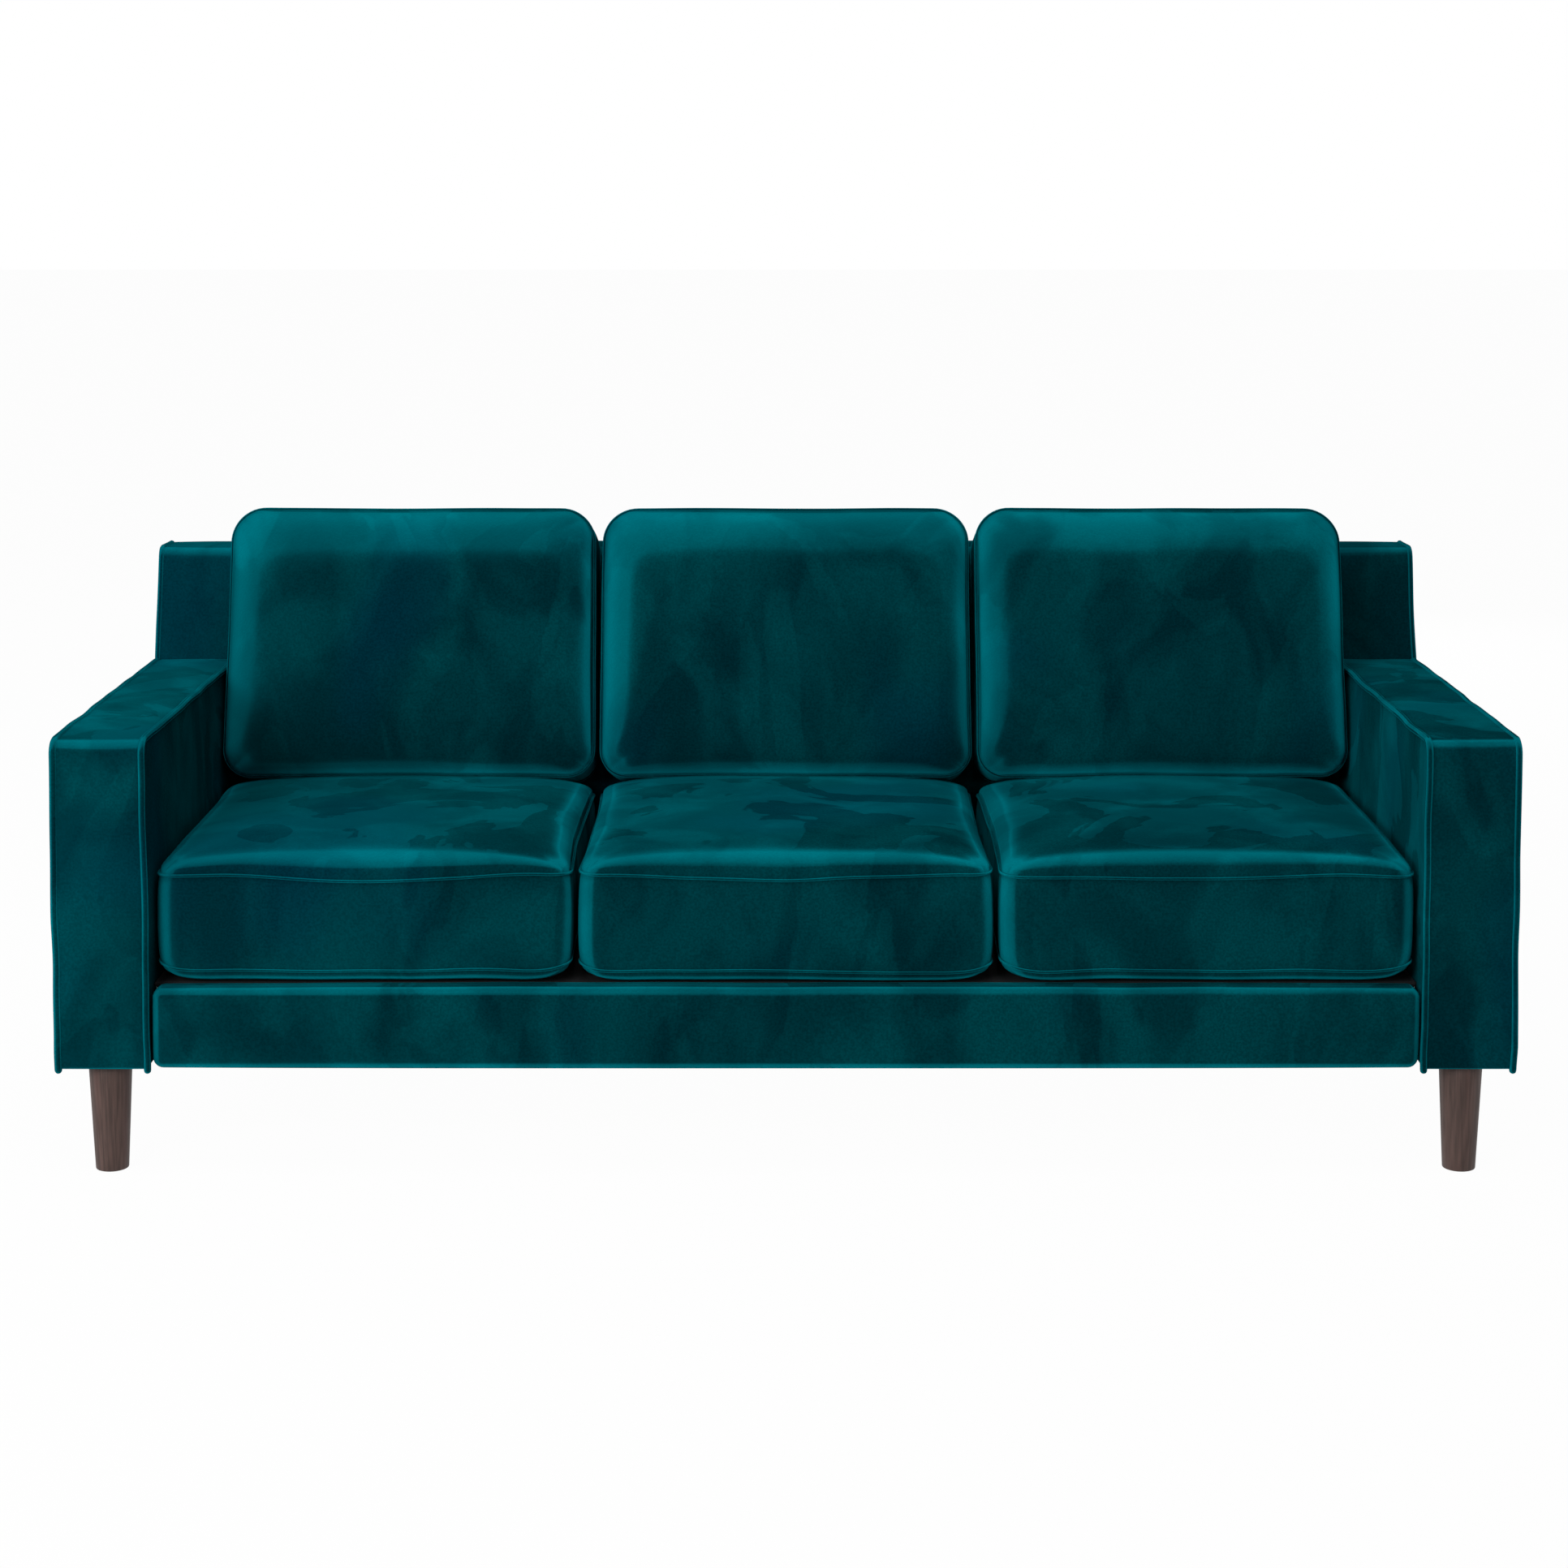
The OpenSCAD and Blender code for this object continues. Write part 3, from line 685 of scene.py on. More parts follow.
def rounded_line(corners: Sequence[Vector], radii: Sequence[float], step: float) -> list[Vector]:
    """Points along an open line of straight runs and round corners.

    Args:
        corners: The line's ends and corners, in a plane.
        radii: Radius of each corner between the ends.
        step: Distance between the points.

    Returns:
        The points, from end to end.
    """
    points = [corners[0]]
    for before, corner, after, radius in zip(corners, corners[1:], corners[2:], radii):
        way_in, way_out = (corner - before).normalized(), (after - corner).normalized()
        turn = way_in.angle(way_out)
        start = corner - way_in * radius * math.tan(turn / 2)
        centre = start + (way_out - way_in * way_in.dot(way_out)).normalized() * radius
        points += straight(points[-1], start, step)
        steps = max(2, round(2 * radius * turn / step))
        arm, across = start - centre, way_in * radius
        for k in range(1, steps + 1):
            points.append(centre + arm * math.cos(turn * k / steps) + across * math.sin(turn * k / steps))
    return points + straight(points[-1], corners[-1], step)


def straight(start: Vector, end: Vector, step: float) -> list[Vector]:
    """Evenly spaced points on a straight run, without its start.

    Args:
        start: Where it starts.
        end: Where it ends.
        step: About how far apart the points are.

    Returns:
        The points.
    """
    count = max(1, round((end - start).length / step))
    return [start.lerp(end, k / count) for k in range(1, count + 1)]


# Turn from one ring of a tube's round end to the next, and how many there are
CAP_TURN = math.radians(28)
CAP_RINGS = 3


def swept(path: Sequence[Vector], radius: float, sides: int = 10, closed: bool = False) -> BMesh:
    """A tube along a path, with round ends where it is open.

    Args:
        path: Points of the centreline.
        radius: Radius of the tube.
        sides: Sides of its rings.
        closed: Whether the path is a loop.

    Returns:
        The mesh.
    """
    places = [(point, 1.0) for point in path]
    if not closed:
        first, last = (path[0] - path[1]).normalized(), (path[-1] - path[-2]).normalized()
        for k in range(1, CAP_RINGS + 1):
            turn = CAP_TURN * k
            reach, share = radius * math.sin(turn), math.cos(turn)
            places.insert(0, (path[0] + first * reach, share))
            places.append((path[-1] + last * reach, share))
    count = len(places)
    rings, heading, turned = [], None, None
    for i, (point, share) in enumerate(places):
        ahead = places[(i + 1) % count][0] if closed or i < count - 1 else point
        behind = places[i - 1][0] if closed or i > 0 else point
        way = (ahead - behind).normalized()
        turned = heading.rotation_difference(way) @ turned if heading else way.to_track_quat("Z", "Y")
        heading = way
        rings.append(Matrix.LocRotScale(point, turned, Vector((share, share, share))))
    mesh = bmesh.new()
    ring = bmesh.ops.create_circle(mesh, cap_ends=not closed, radius=radius, segments=sides)["verts"]
    bmesh.ops.transform(mesh, matrix=rings[0], verts=ring)
    first_edges = edges = list({edge for vert in ring for edge in vert.link_edges})
    for before, after in zip(rings, rings[1:]):
        grown = bmesh.ops.extrude_edge_only(mesh, edges=edges)["geom"]
        ring = [item for item in grown if isinstance(item, BMVert)]
        new = set(ring)
        edges = [item for item in grown if isinstance(item, BMEdge) and new.issuperset(item.verts)]
        bmesh.ops.transform(mesh, matrix=after @ before.inverted(), verts=ring)
    if closed:
        bmesh.ops.bridge_loops(mesh, edges=first_edges + edges)
    else:
        bmesh.ops.contextual_create(mesh, geom=edges)
    return mesh


def piece(name: str, mesh: BMesh, slot: Slot, body: str, stands_for: Iterable[str] = ()) -> Object:
    """Turns a mesh into a finished piece of the sofa.

    Args:
        name: Name of the piece.
        mesh: Its mesh in the frame's axes, which is freed.
        slot: Material slot that it takes its finish from.
        body: CAD body that it rides on.
        stands_for: CAD nodes that it replaces.

    Returns:
        The piece.
    """
    bmesh.ops.recalc_face_normals(mesh, faces=mesh.faces)
    data = bpy.data.meshes.new(name)
    mesh.to_mesh(data)
    mesh.free()
    data.shade_smooth()
    data.materials.append(FINISHES[slot].material)
    made = bpy.data.objects.new(name, data)
    bpy.context.scene.collection.objects.link(made)
    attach(made, body)
    for node in stands_for:
        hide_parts(node)
    log.info("%s: %d faces, rides on %s", name, len(data.polygons), body)
    return made


@dataclass(frozen=True)
class Ripple:
    """The slight waviness of stretched cloth: a smooth field of shifts."""

    height: float
    size: float
    seed: float
    still_below: float = 0.15
    fade: float = 0.03

    def at(self, point: Vector) -> Vector:
        """The shift at a point, fading out at the undersides that the legs meet."""
        rise = min(1.0, max(0.0, (point.z - self.still_below) / self.fade))
        return noise.noise_vector(point / self.size + Vector((self.seed, 0, 0))) * self.height * rise


@dataclass(frozen=True)
class Corners:
    """Radii of a block's outline, seen from the end."""

    front_bottom: float
    front_top: float
    rear_top: float
    rear_bottom: float

    def at(self, rear: bool, top: bool) -> float:
        """The radius of one corner.

        Args:
            rear: Whether the corner is at the rear.
            top: Whether it is at the top.

        Returns:
            The radius.
        """
        if rear:
            return self.rear_top if top else self.rear_bottom
        return self.front_top if top else self.front_bottom


@dataclass
class Block:
    """An upholstered block: a box with rounded edges and puffed faces, which is then bent to its place.

    Its own axes run across, from front to rear, and up, from its middle.
    """

    half: Vector
    corners: Corners
    edge: float
    puff: float
    ripple: Ripple
    cuts: tuple[int, int, int]
    # The grid is finer in a band next to each edge
    band: float = 0.008
    band_steps: int = 4
    puff_power: int = 4
    wadding_depth: float = 0.004
    wadding_cuts: int = 11
    # Share of a welt's radius by which its centre lies in the cloth, and the distance of its rings
    welt_sunk: float = 0.35
    welt_step: float = 0.008

    def placed(self, point: Vector) -> Vector:
        """Takes a point from the block's own axes to the frame's."""
        raise NotImplementedError

    def rounded(self, point: Vector) -> Vector:
        """Takes a point on the plain box to the rounded one.

        Args:
            point: The point on the plain box.

        Returns:
            The point after the rounding.
        """
        y_in, z_in = self.half.y - abs(point.y), self.half.z - abs(point.z)
        radius = self.corners.at(point.y > 0, point.z > 0)
        signs = Vector((0, math.copysign(1, point.y), math.copysign(1, point.z)))
        moved = point.copy()
        if y_in < radius and z_in < radius:
            out = Vector((0, (radius - y_in) * signs.y, (radius - z_in) * signs.z))
            level = max(abs(out.y), abs(out.z))
            normal = out.normalized()
            moved += normal * level - out
            depth = radius - level
        else:
            depth = min(y_in, z_in)
            normal = Vector((0, signs.y, 0)) if y_in < z_in else Vector((0, 0, signs.z))
        side_reach = self.edge - (self.half.x - abs(point.x))
        face_reach = self.edge - depth
        if side_reach > 0 and face_reach > 0:
            lost = 1 - max(side_reach, face_reach) / math.hypot(side_reach, face_reach)
            moved.x -= math.copysign(side_reach * lost, point.x)
            moved -= normal * face_reach * lost
        return moved

    def bulge(self, point: Vector) -> Vector:
        """How far the padding pushes a point on the plain box outwards.

        Args:
            point: The point on the plain box.

        Returns:
            The shift.
        """
        shares = [point[axis] / self.half[axis] for axis in range(3)]
        shift = Vector((0, 0, 0))
        for axis, share in enumerate(shares):
            if abs(share) > 1 - TINY:
                others = [1 - shares[other] ** self.puff_power for other in range(3) if other != axis]
                shift[axis] = math.copysign(self.puff * others[0] * others[1], share)
        return shift

    def skin(self, depth: float = 0) -> BMesh:
        """Builds a closed skin in the frame's axes.

        Args:
            depth: How far it lies under the outer cloth.

        Returns:
            The skin's mesh.
        """
        cuts = self.cuts if depth == 0 else tuple(max(self.wadding_cuts, count // 2) for count in self.cuts)
        shrunk = Vector(1 - depth / size for size in self.half)
        band = max(self.edge, self.band)
        mesh = gridded_cube(cuts)
        for vert in mesh.verts:
            plain = Vector(
                banded(share, half, band, self.band_steps, count)
                for share, half, count in zip(vert.co, self.half, cuts)
            )
            place = self.placed((self.rounded(plain) + self.bulge(plain)) * shrunk)
            vert.co = place + self.ripple.at(place)
        return mesh

    def cover(self, name: str) -> None:
        """Makes the block's cloth and the fibre wadding under it.

        Args:
            name: Start of the names of the CAD cover and padding that they stand for.
        """
        piece(f"{name}_cloth", self.skin(), Slot.VELVET, "frame", [f"{name}_cover"])
        piece(f"{name}_wadding", self.skin(self.wadding_depth), Slot.PADDING, "frame", [f"{name}_padding"])

    def piping(self, sign: int, radius: float, corners: Sequence[Pair], radii: Sequence[float]) -> BMesh:
        """Builds a welt along one of the block's long edges.

        Args:
            sign: Which end of the block, -1 or 1.
            radius: Radius of the welt.
            corners: Depth and height of the welt's ends and corners, as shares of the half sizes.
            radii: Radius of each corner between the ends.

        Returns:
            The welt's mesh in the frame's axes.
        """
        reach = [size - radius * self.welt_sunk for size in self.half]
        line = [Vector((sign * reach[0], depth * reach[1], height * reach[2])) for depth, height in corners]
        path = [self.placed(point) for point in rounded_line(line, radii, self.welt_step)]
        return swept([point + self.ripple.at(point) for point in path], radius)


@dataclass
class BackSlope:
    """The lean of the back: how far back its front and its outside lie at each height."""

    rake: float = math.radians(16)
    foot_setback: float = 0.060
    knee_reach: float = 0.0127

    def __post_init__(self) -> None:
        """Reads the foot, the top and the deck from the frame."""
        low, high = box_of("back_cover")
        self.foot_front = low.y
        self.foot_rear = high.y - self.foot_setback
        self.top_rear = high.y
        self.top_z = high.z
        self.deck_z = box_of("deck_cloth")[1].z

    def front(self, z: float) -> float:
        """Y of the back's front at a height."""
        return self.foot_front + math.tan(self.rake) * max(0.0, z - self.deck_z)

    def rear(self, z: float) -> float:
        """Y of the outside back at a height, with a soft knee where the lean starts.

        Args:
            z: The height.

        Returns:
            The depth of the outside back there.
        """
        slope = math.tan(self.rake)
        knee_z = self.top_z - (self.top_rear - self.foot_rear) / slope
        past = z - knee_z
        if abs(past) < self.knee_reach:
            return self.foot_rear + slope * (past + self.knee_reach) ** 2 / (4 * self.knee_reach)
        return self.foot_rear + slope * max(0.0, past)


@dataclass
class Arm(Block):
    """One slim box arm, with a welt along each side of its front and top."""

    side: Side = Side.LEFT
    slope: BackSlope | None = None
    welt_r: float = 0.005
    welt_line: tuple[Pair, ...] = ((-1, -1.012), (-1, 1), (0.99, 1))
    proud: float = 0.0035
    rear_gap: float = 0.0005

    @property
    def node(self) -> str:
        """Name of the CAD cover that the arm's skin stands for."""
        return f"arm_{self.side.name.lower()}_cover"

    @classmethod
    def on(cls, side: Side, slope: BackSlope) -> "Arm":
        """Measures an arm from the frame.

        Args:
            side: Which end of the sofa.
            slope: The back that it runs up to.

        Returns:
            The arm.
        """
        size = size_of(f"arm_{side.name.lower()}_cover")
        half = Vector((size.x / 2 - cls.proud, size.y / 2, (size.z - cls.proud) / 2))
        corners = Corners(front_bottom=0.004, front_top=0.018, rear_top=0.002, rear_bottom=0.004)
        ripple = Ripple(height=0.0022, size=0.085, seed=11.3 * side.value)
        return cls(half, corners, edge=0.006, puff=0.003, ripple=ripple, cuts=(22, 90, 62),
                   side=side, slope=slope)

    def placed(self, point: Vector) -> Vector:
        """Takes a point from the arm's own axes to the frame's, where its rear follows the back's lean.

        Args:
            point: The point in the arm's axes.

        Returns:
            The point in the frame's axes.
        """
        low, _ = box_of(self.node)
        z = low.z + self.half.z + point.z
        front, rear = low.y + self.proud, self.slope.front(z) - self.rear_gap
        share = (point.y + self.half.y) / (2 * self.half.y)
        return Vector((centre_of(self.node).x + point.x, front + (rear - front) * share, z))

    def build(self) -> None:
        """Makes the arm's covering and its two welts."""
        name = self.side.name.lower()
        self.cover(f"arm_{name}")
        for sign in (-1, 1):
            where = "outer" if sign == self.side.value else "inner"
            welt = self.piping(sign, self.welt_r, self.welt_line, [self.corners.front_top])
            piece(f"arm_{name}_{where}_welt", welt, Slot.VELVET, "frame")


@dataclass
class Back(Block):
    """The leaning back unit behind the cushions, with a welt round each end face."""

    slope: BackSlope | None = None
    depth: float = 0.1
    welt_r: float = 0.004
    welt_line: tuple[Pair, ...] = ((-1, -1.005), (-1, 1), (1, 1), (1, -1.005))
    proud: float = 0.003

    @classmethod
    def of(cls, slope: BackSlope) -> "Back":
        """Measures the back from the frame and its slope.

        Args:
            slope: How the back leans.

        Returns:
            The back.
        """
        size = size_of("back_cover")
        half = Vector((size.x / 2 - cls.proud, cls.depth / 2, (size.z - cls.proud) / 2))
        corners = Corners(front_bottom=0.003, front_top=0.012, rear_top=0.012, rear_bottom=0.003)
        ripple = Ripple(height=0.0018, size=0.11, seed=4.7)
        return cls(half, corners, edge=0.006, puff=0.002, ripple=ripple, cuts=(170, 14, 80),
                   slope=slope)

    def placed(self, point: Vector) -> Vector:
        """Takes a point from the back's own axes to the frame's, between its front and its outside.

        Args:
            point: The point in the back's axes.

        Returns:
            The point in the frame's axes.
        """
        z = box_of("back_cover")[0].z + self.half.z + point.z
        front, rear = self.slope.front(z), self.slope.rear(z) - self.proud
        share = (point.y + self.half.y) / (2 * self.half.y)
        return Vector((point.x, front + (rear - front) * share, z))

    def build(self) -> None:
        """Makes the back's covering and the welts of its ends."""
        self.cover("back")
        radii = [self.corners.front_top, self.corners.rear_top]
        for side in Side:
            welt = self.piping(side.value, self.welt_r, self.welt_line, radii)
            piece(f"back_{side.name.lower()}_welt", welt, Slot.VELVET, "frame")


@dataclass
class Apron(Block):
    """The plain padded rail under the seat cushions."""

    radius: float = 0.013

    @classmethod
    def measured(cls) -> "Apron":
        """Measures the apron from the frame.

        Returns:
            The apron.
        """
        half = size_of("apron_cover") / 2
        corners = Corners(cls.radius, cls.radius, cls.radius, cls.radius)
        ripple = Ripple(height=0.001, size=0.12, seed=8.8)
        return cls(half, corners, edge=cls.radius, puff=0.0015, ripple=ripple, cuts=(150, 10, 20))

    def placed(self, point: Vector) -> Vector:
        """Takes a point from the apron's own axes to the frame's."""
        return centre_of("apron_cover") + point

    def build(self) -> None:
        """Makes the apron's cloth and wadding."""
        self.cover("apron")


@dataclass
class DeckRoll:
    """The front of the dark deck cloth, rolled over the edge of the pad under the seat cushions."""

    radius: float = 0.0045
    sunk: float = 0.6
    side_gap: float = 0.0015
    step: float = 0.02

    def build(self) -> None:
        """Sweeps the roll along the pad's upper front edge."""
        low, high = box_of("deck_pad")
        x = high.x - self.side_gap
        y = low.y + self.radius * self.sunk
        z = box_of("deck_cloth")[1].z - self.radius
        start, end = Vector((-x, y, z)), Vector((x, y, z))
        roll = swept([start] + straight(start, end, self.step), self.radius)
        piece("deck_cloth_roll", roll, Slot.LINING, "frame")


@dataclass
class DustCoverStaples:
    """The staples that hold the dust cover to the rails round its edge."""

    inset: float = 0.008
    spacing: float = 0.055
    crown: float = 0.010
    wire_r: float = 0.0006
    wire_sides: int = 6

    def wires(self) -> Iterable[BMesh]:
        """Makes the crown of each staple, along the cover's four edges.

        Yields:
            The mesh of one crown.
        """
        low, high = box_of("dust_cover")
        left, right = low.x + self.inset, high.x - self.inset
        front, rear = low.y + self.inset, high.y - self.inset
        places = ((left, front), (right, front), (right, rear), (left, rear))
        corners = [Vector((*place, low.z)) for place in places]
        for start, end in zip(corners, corners[1:] + corners[:1]):
            half = (end - start).normalized() * self.crown / 2
            for middle in straight(start, end, self.spacing)[:-1]:
                yield swept([middle - half, middle + half], self.wire_r, self.wire_sides)

    def build(self) -> None:
        """Joins the staples in one piece."""
        row = bmesh.new()
        for wire in self.wires():
            data = bpy.data.meshes.new("staple")
            wire.to_mesh(data)
            wire.free()
            row.from_mesh(data)
            bpy.data.meshes.remove(data)
        piece("dust_cover_staples", row, Slot.STEEL, "frame")


@dataclass
class BoxedCushion:
    """A loose cushion: two panels and a boxing strip between them, sewn with thin welts.

    Its own axes run across the sofa, along the cushion's main panel, and out of that panel.
    """

    seat: Seat
    kind: str
    half: Vector
    box: float
    crown: float
    crown_shapes: tuple[Triple, Triple]
    belly: float
    corner: float
    far_corner: float
    turn: Matrix
    # How the outline is drawn in between its corners, and how boxing and panels swell
    draw_in: float = 0.004
    swell: float = 0.002
    dome: float = 0.0
    taper: float = 0.0
    belly_shape: Pair = (14, 0.4)
    # How the seams pinch the cloth, and how close to them a panel takes up their shape
    pinch: float = 0.0022
    pinch_reach: float = 0.009
    seam_power: int = 8
    wave_power: int = 12
    pinch_power: int = 40
    # How the seams wander off their level, and how the whole cloth ripples
    wander: float = 0.0042
    wander_size: float = 0.12
    wander_seed: float = 3.7
    wander_lower_seed: float = 20
    ripple_shape: Pair = (0.0016, 0.14)
    ripple_seed: float = 5.3
    # The grid, and how evenly its lines are spaced
    cuts: tuple[int, int, int] = (83, 83, 17)
    even: float = 0.2
    fill: float = 0.85
    # Welts and zip, which stand out of the cloth or lie in it by a share of their radius
    welt_r: float = 0.0021
    welt_out: float = 0.3
    welt_points: int = 72
    thin_sides: int = 8
    zip_end: int = 1
    zip_r: float = 0.002
    zip_sunk: float = 0.7
    zip_reach: float = 0.8
    zip_points: int = 40
    slider_r: float = 0.003

    @property
    def body(self) -> str:
        """The CAD body, which the names of the nodes start with."""
        return f"{self.kind}_cushion_{self.seat.name.lower()}"

    def rim_wave(self, plan: Vector, top: bool) -> float:
        """How far a seam wanders off its level.

        Args:
            plan: A point of the outline.
            top: Whether it is the main panel's seam.

        Returns:
            The height above its level.
        """
        seed = self.seat.value * self.wander_seed + (0 if top else self.wander_lower_seed)
        return self.wander * noise.noise(Vector((*(plan.xy / self.wander_size), seed)))

    def rim(self, across: float, along: float) -> tuple[Vector, Vector]:
        """A point of the seams' outline, seen from above the panel.

        Args:
            across: Place on the square outline, from -1 to 1.
            along: Place on the square outline, from -1 to 1; one of the two is -1 or 1.

        Returns:
            The point and the outward direction there.
        """
        half = Vector((self.half.x - self.swell, self.half.y - self.swell, 0))
        plain = Vector((across * half.x, along * half.y, 0))
        half.x -= self.taper * (1 + along) / 2
        plain.x = across * half.x
        corner = self.far_corner if along > 0 else self.corner
        inner = Vector((
            max(-half.x + corner, min(half.x - corner, plain.x)),
            max(-half.y + corner, min(half.y - corner, plain.y)), 0,
        ))
        out = (plain - inner).normalized()
        drawn = self.draw_in * (1 - (inner.x / (half.x - corner)) ** 2)
        if abs(out.x) > abs(out.y):
            drawn = self.draw_in * (1 - (inner.y / (half.y - corner)) ** 2)
        return inner + out * (corner - drawn), out

    def shaped(self, point: Vector) -> Vector:
        """Takes a point on a cube from -1 to 1 to the cushion's own axes.

        Args:
            point: The point on the cube.

        Returns:
            The point on the cushion.
        """
        across, along = (
            self.even * value + (1 - self.even) * math.sin(value * math.pi / 2) for value in point.xy
        )
        level = max(abs(across), abs(along))
        if level < TINY:
            return Vector((0, 0, self.panel_height(0, 0, point.z)))
        edge, out = self.rim(across / level, along / level)
        top = point.z > 0
        wave = self.rim_wave(edge, top)
        if abs(point.z) < 1 - TINY:
            seam_near = math.exp(-(1 - abs(point.z)) * self.box / 2 / self.pinch_reach)
            place = edge + out * (self.swell * (1 - point.z ** 2) - self.pinch * seam_near)
            place.z = point.z * self.box / 2 + wave * abs(point.z) ** 3
            return place
        plain = Vector((across / level * self.half.x, along / level * self.half.y, 0))
        place = plain * level + (edge - plain) * level ** self.seam_power
        place -= out * self.pinch * level ** self.pinch_power
        place.z = self.panel_height(across, along, point.z) + wave * level ** self.wave_power
        return place

    def panel_height(self, across: float, along: float, face: float) -> float:
        """Height of a panel above the cushion's middle.

        Args:
            across: Place on the panel, from -1 to 1.
            along: Place on the panel, from -1 to 1.
            face: 1 for the main panel, -1 for the other.

        Returns:
            The height.
        """
        if face > 0:
            rise = self.crown
            for value, (level, power, root) in zip((across, along), self.crown_shapes):
                fall = max(0.0, abs(value) - level) / (1 - level)
                rise *= max(0.0, 1 - fall ** power) ** (1 / root) * (1 - self.dome * value ** 2)
            return self.box / 2 + rise
        fall = self.belly
        power, root = self.belly_shape
        for value in (across, along):
            fall *= max(0.0, 1 - abs(value) ** power) ** root
        return -self.box / 2 - fall

    def settled(self, local: Vector) -> Vector:
        """Takes a point from the cushion's own axes to the frame's, with the cloth's waviness."""
        place = self.turn @ local
        return place + Ripple(*self.ripple_shape, self.seat.value * self.ripple_seed).at(place)

    def skin(self) -> BMesh:
        """Builds the cushion's closed cloth skin.

        Returns:
            The skin's mesh in the frame's axes.
        """
        mesh = gridded_cube(self.cuts)
        for vert in mesh.verts:
            vert.co = self.settled(self.shaped(vert.co))
        return mesh

    def welt(self, top: bool) -> BMesh:
        """Builds the welt round one panel.

        Args:
            top: Whether it is the main panel's.

        Returns:
            The welt's mesh in the frame's axes.
        """
        square = [(-1 + 2 * k / self.welt_points, -1) for k in range(self.welt_points)]
        level = self.box / 2 if top else -self.box / 2
        path = []
        for quarter in range(4):
            turn = Matrix.Rotation(quarter * math.pi / 2, 2)
            for place in square:
                across, along = (max(-1.0, min(1.0, value)) for value in turn @ Vector(place))
                edge, out = self.rim(across, along)
                local = edge + out * (self.welt_r * self.welt_out - self.pinch / 2)
                local.z = level + self.rim_wave(edge, top)
                path.append(self.settled(local))
        return swept(path, self.welt_r, self.thin_sides, closed=True)

    def zip_line(self) -> list[Vector]:
        """Lays the zip along the boxing that is out of sight.

        Returns:
            Points along it.
        """
        points = []
        for k in range(self.zip_points + 1):
            edge, out = self.rim(self.zip_reach * (2 * k / self.zip_points - 1), self.zip_end)
            points.append(self.settled(edge + out * (self.swell - self.zip_r * self.zip_sunk)))
        return points

    def build(self) -> None:
        """Makes the cushion's skin, its two welts and its zip."""
        cover = piece(f"{self.body}_skin", self.skin(), Slot.VELVET, self.body, [f"{self.body}_cover"])
        for top, where in ((True, "upper"), (False, "lower")):
            piece(f"{self.body}_{where}_welt", self.welt(top), Slot.VELVET, self.body)
        line = self.zip_line()
        piece(f"{self.body}_zip", swept(line, self.zip_r, self.thin_sides), Slot.LINING, self.body)
        piece(f"{self.body}_zip_slider", swept(line[1:3], self.slider_r), Slot.STEEL, self.body)


@dataclass
class SeatCushion(BoxedCushion):
    """A deep seat cushion whose front sags a little along its upper seam."""

    sag: float = 0.007
    sag_width: float = 0.7
    sag_power: int = 4
    lift: float = 0.009
    lift_from: float = 0.75

    @classmethod
    def at(cls, seat: Seat) -> "SeatCushion":
        """Measures a seat cushion from the frame.

        Args:
            seat: The place to sit that it belongs to.

        Returns:
            The cushion.
        """
        node = f"seat_cushion_{seat.name.lower()}"
        size, foam = size_of(f"{node}_cover"), centre_of(f"{node}_foam")
        low, high = box_of(f"{node}_cover")
        box = size_of(f"{node}_foam").z
        return cls(
            seat, "seat", Vector((size.x / 2, size.y / 2, 0)), box=box, crown=high.z - foam.z - box / 2,
            crown_shapes=((0, 4, 2.7), (0, 4, 3.0)), belly=foam.z - box / 2 - low.z, corner=0.032,
            far_corner=0.032, turn=Matrix.Translation(foam),
        )

    def rim_wave(self, plan: Vector, top: bool) -> float:
        """Adds the upper seam's sag in the middle of the front, or the lower seam's rise at the ends.

        Args:
            plan: A point of the outline.
            top: Whether it is the main panel's seam.

        Returns:
            The height above its level.
        """
        wave = super().rim_wave(plan, top)
        share = abs(plan.x) / self.half.x
        if not top:
            return wave + self.lift * max(0.0, (share - self.lift_from) / (1 - self.lift_from)) ** 2
        front = max(0.0, -plan.y / self.half.y)
        return wave - self.sag * front ** self.sag_power * max(0.0, 1 - (share / self.sag_width) ** 2) ** 2


@dataclass
class BackCushion(BoxedCushion):
    """A crowned back cushion that leans with the back."""

    # How far the cover reaches past the foam, and how much of its thickness belongs to the crown
    wrap: float = 0.034
    roll: float = 0.020
    crown_rise: float = 0.036
    # How much further it reaches up and down, and how far it is pushed up the back
    stretch: float = 0.0036
    slip: float = 0.0016

    @classmethod
    def at(cls, seat: Seat, slope: BackSlope) -> "BackCushion":
        """Measures a back cushion from the frame.

        Args:
            seat: The place to sit that it belongs to.
            slope: The back that it leans with.

        Returns:
            The cushion.
        """
        node = f"back_cushion_{seat.name.lower()}"
        cosine, sine = math.cos(slope.rake), math.sin(slope.rake)
        foam = size_of(f"{node}_foam")
        spread = cosine ** 2 - sine ** 2
        height = (foam.z * cosine - foam.y * sine) / spread + 2 * cls.wrap
        thickness = (foam.y * cosine - foam.z * sine) / spread + cls.wrap
        upright = Matrix.Rotation(math.pi / 2 - slope.rake, 4, "X")
        shift = Matrix.Translation((0, cls.slip, -cls.roll / 2))
        half = Vector((size_of(f"{node}_cover").x / 2, height / 2 + cls.stretch, 0))
        return cls(
            seat, "back", half, box=thickness - cls.roll, crown=cls.crown_rise + cls.roll,
            crown_shapes=((0.62, 2.7, 2), (0.42, 2.8, 2)), belly=0.003, corner=0.040, far_corner=0.051,
            turn=Matrix.Translation(centre_of(f"{node}_foam")) @ upright @ shift,
            draw_in=0.0005, dome=0.06, taper=0.001, zip_end=-1,
        )


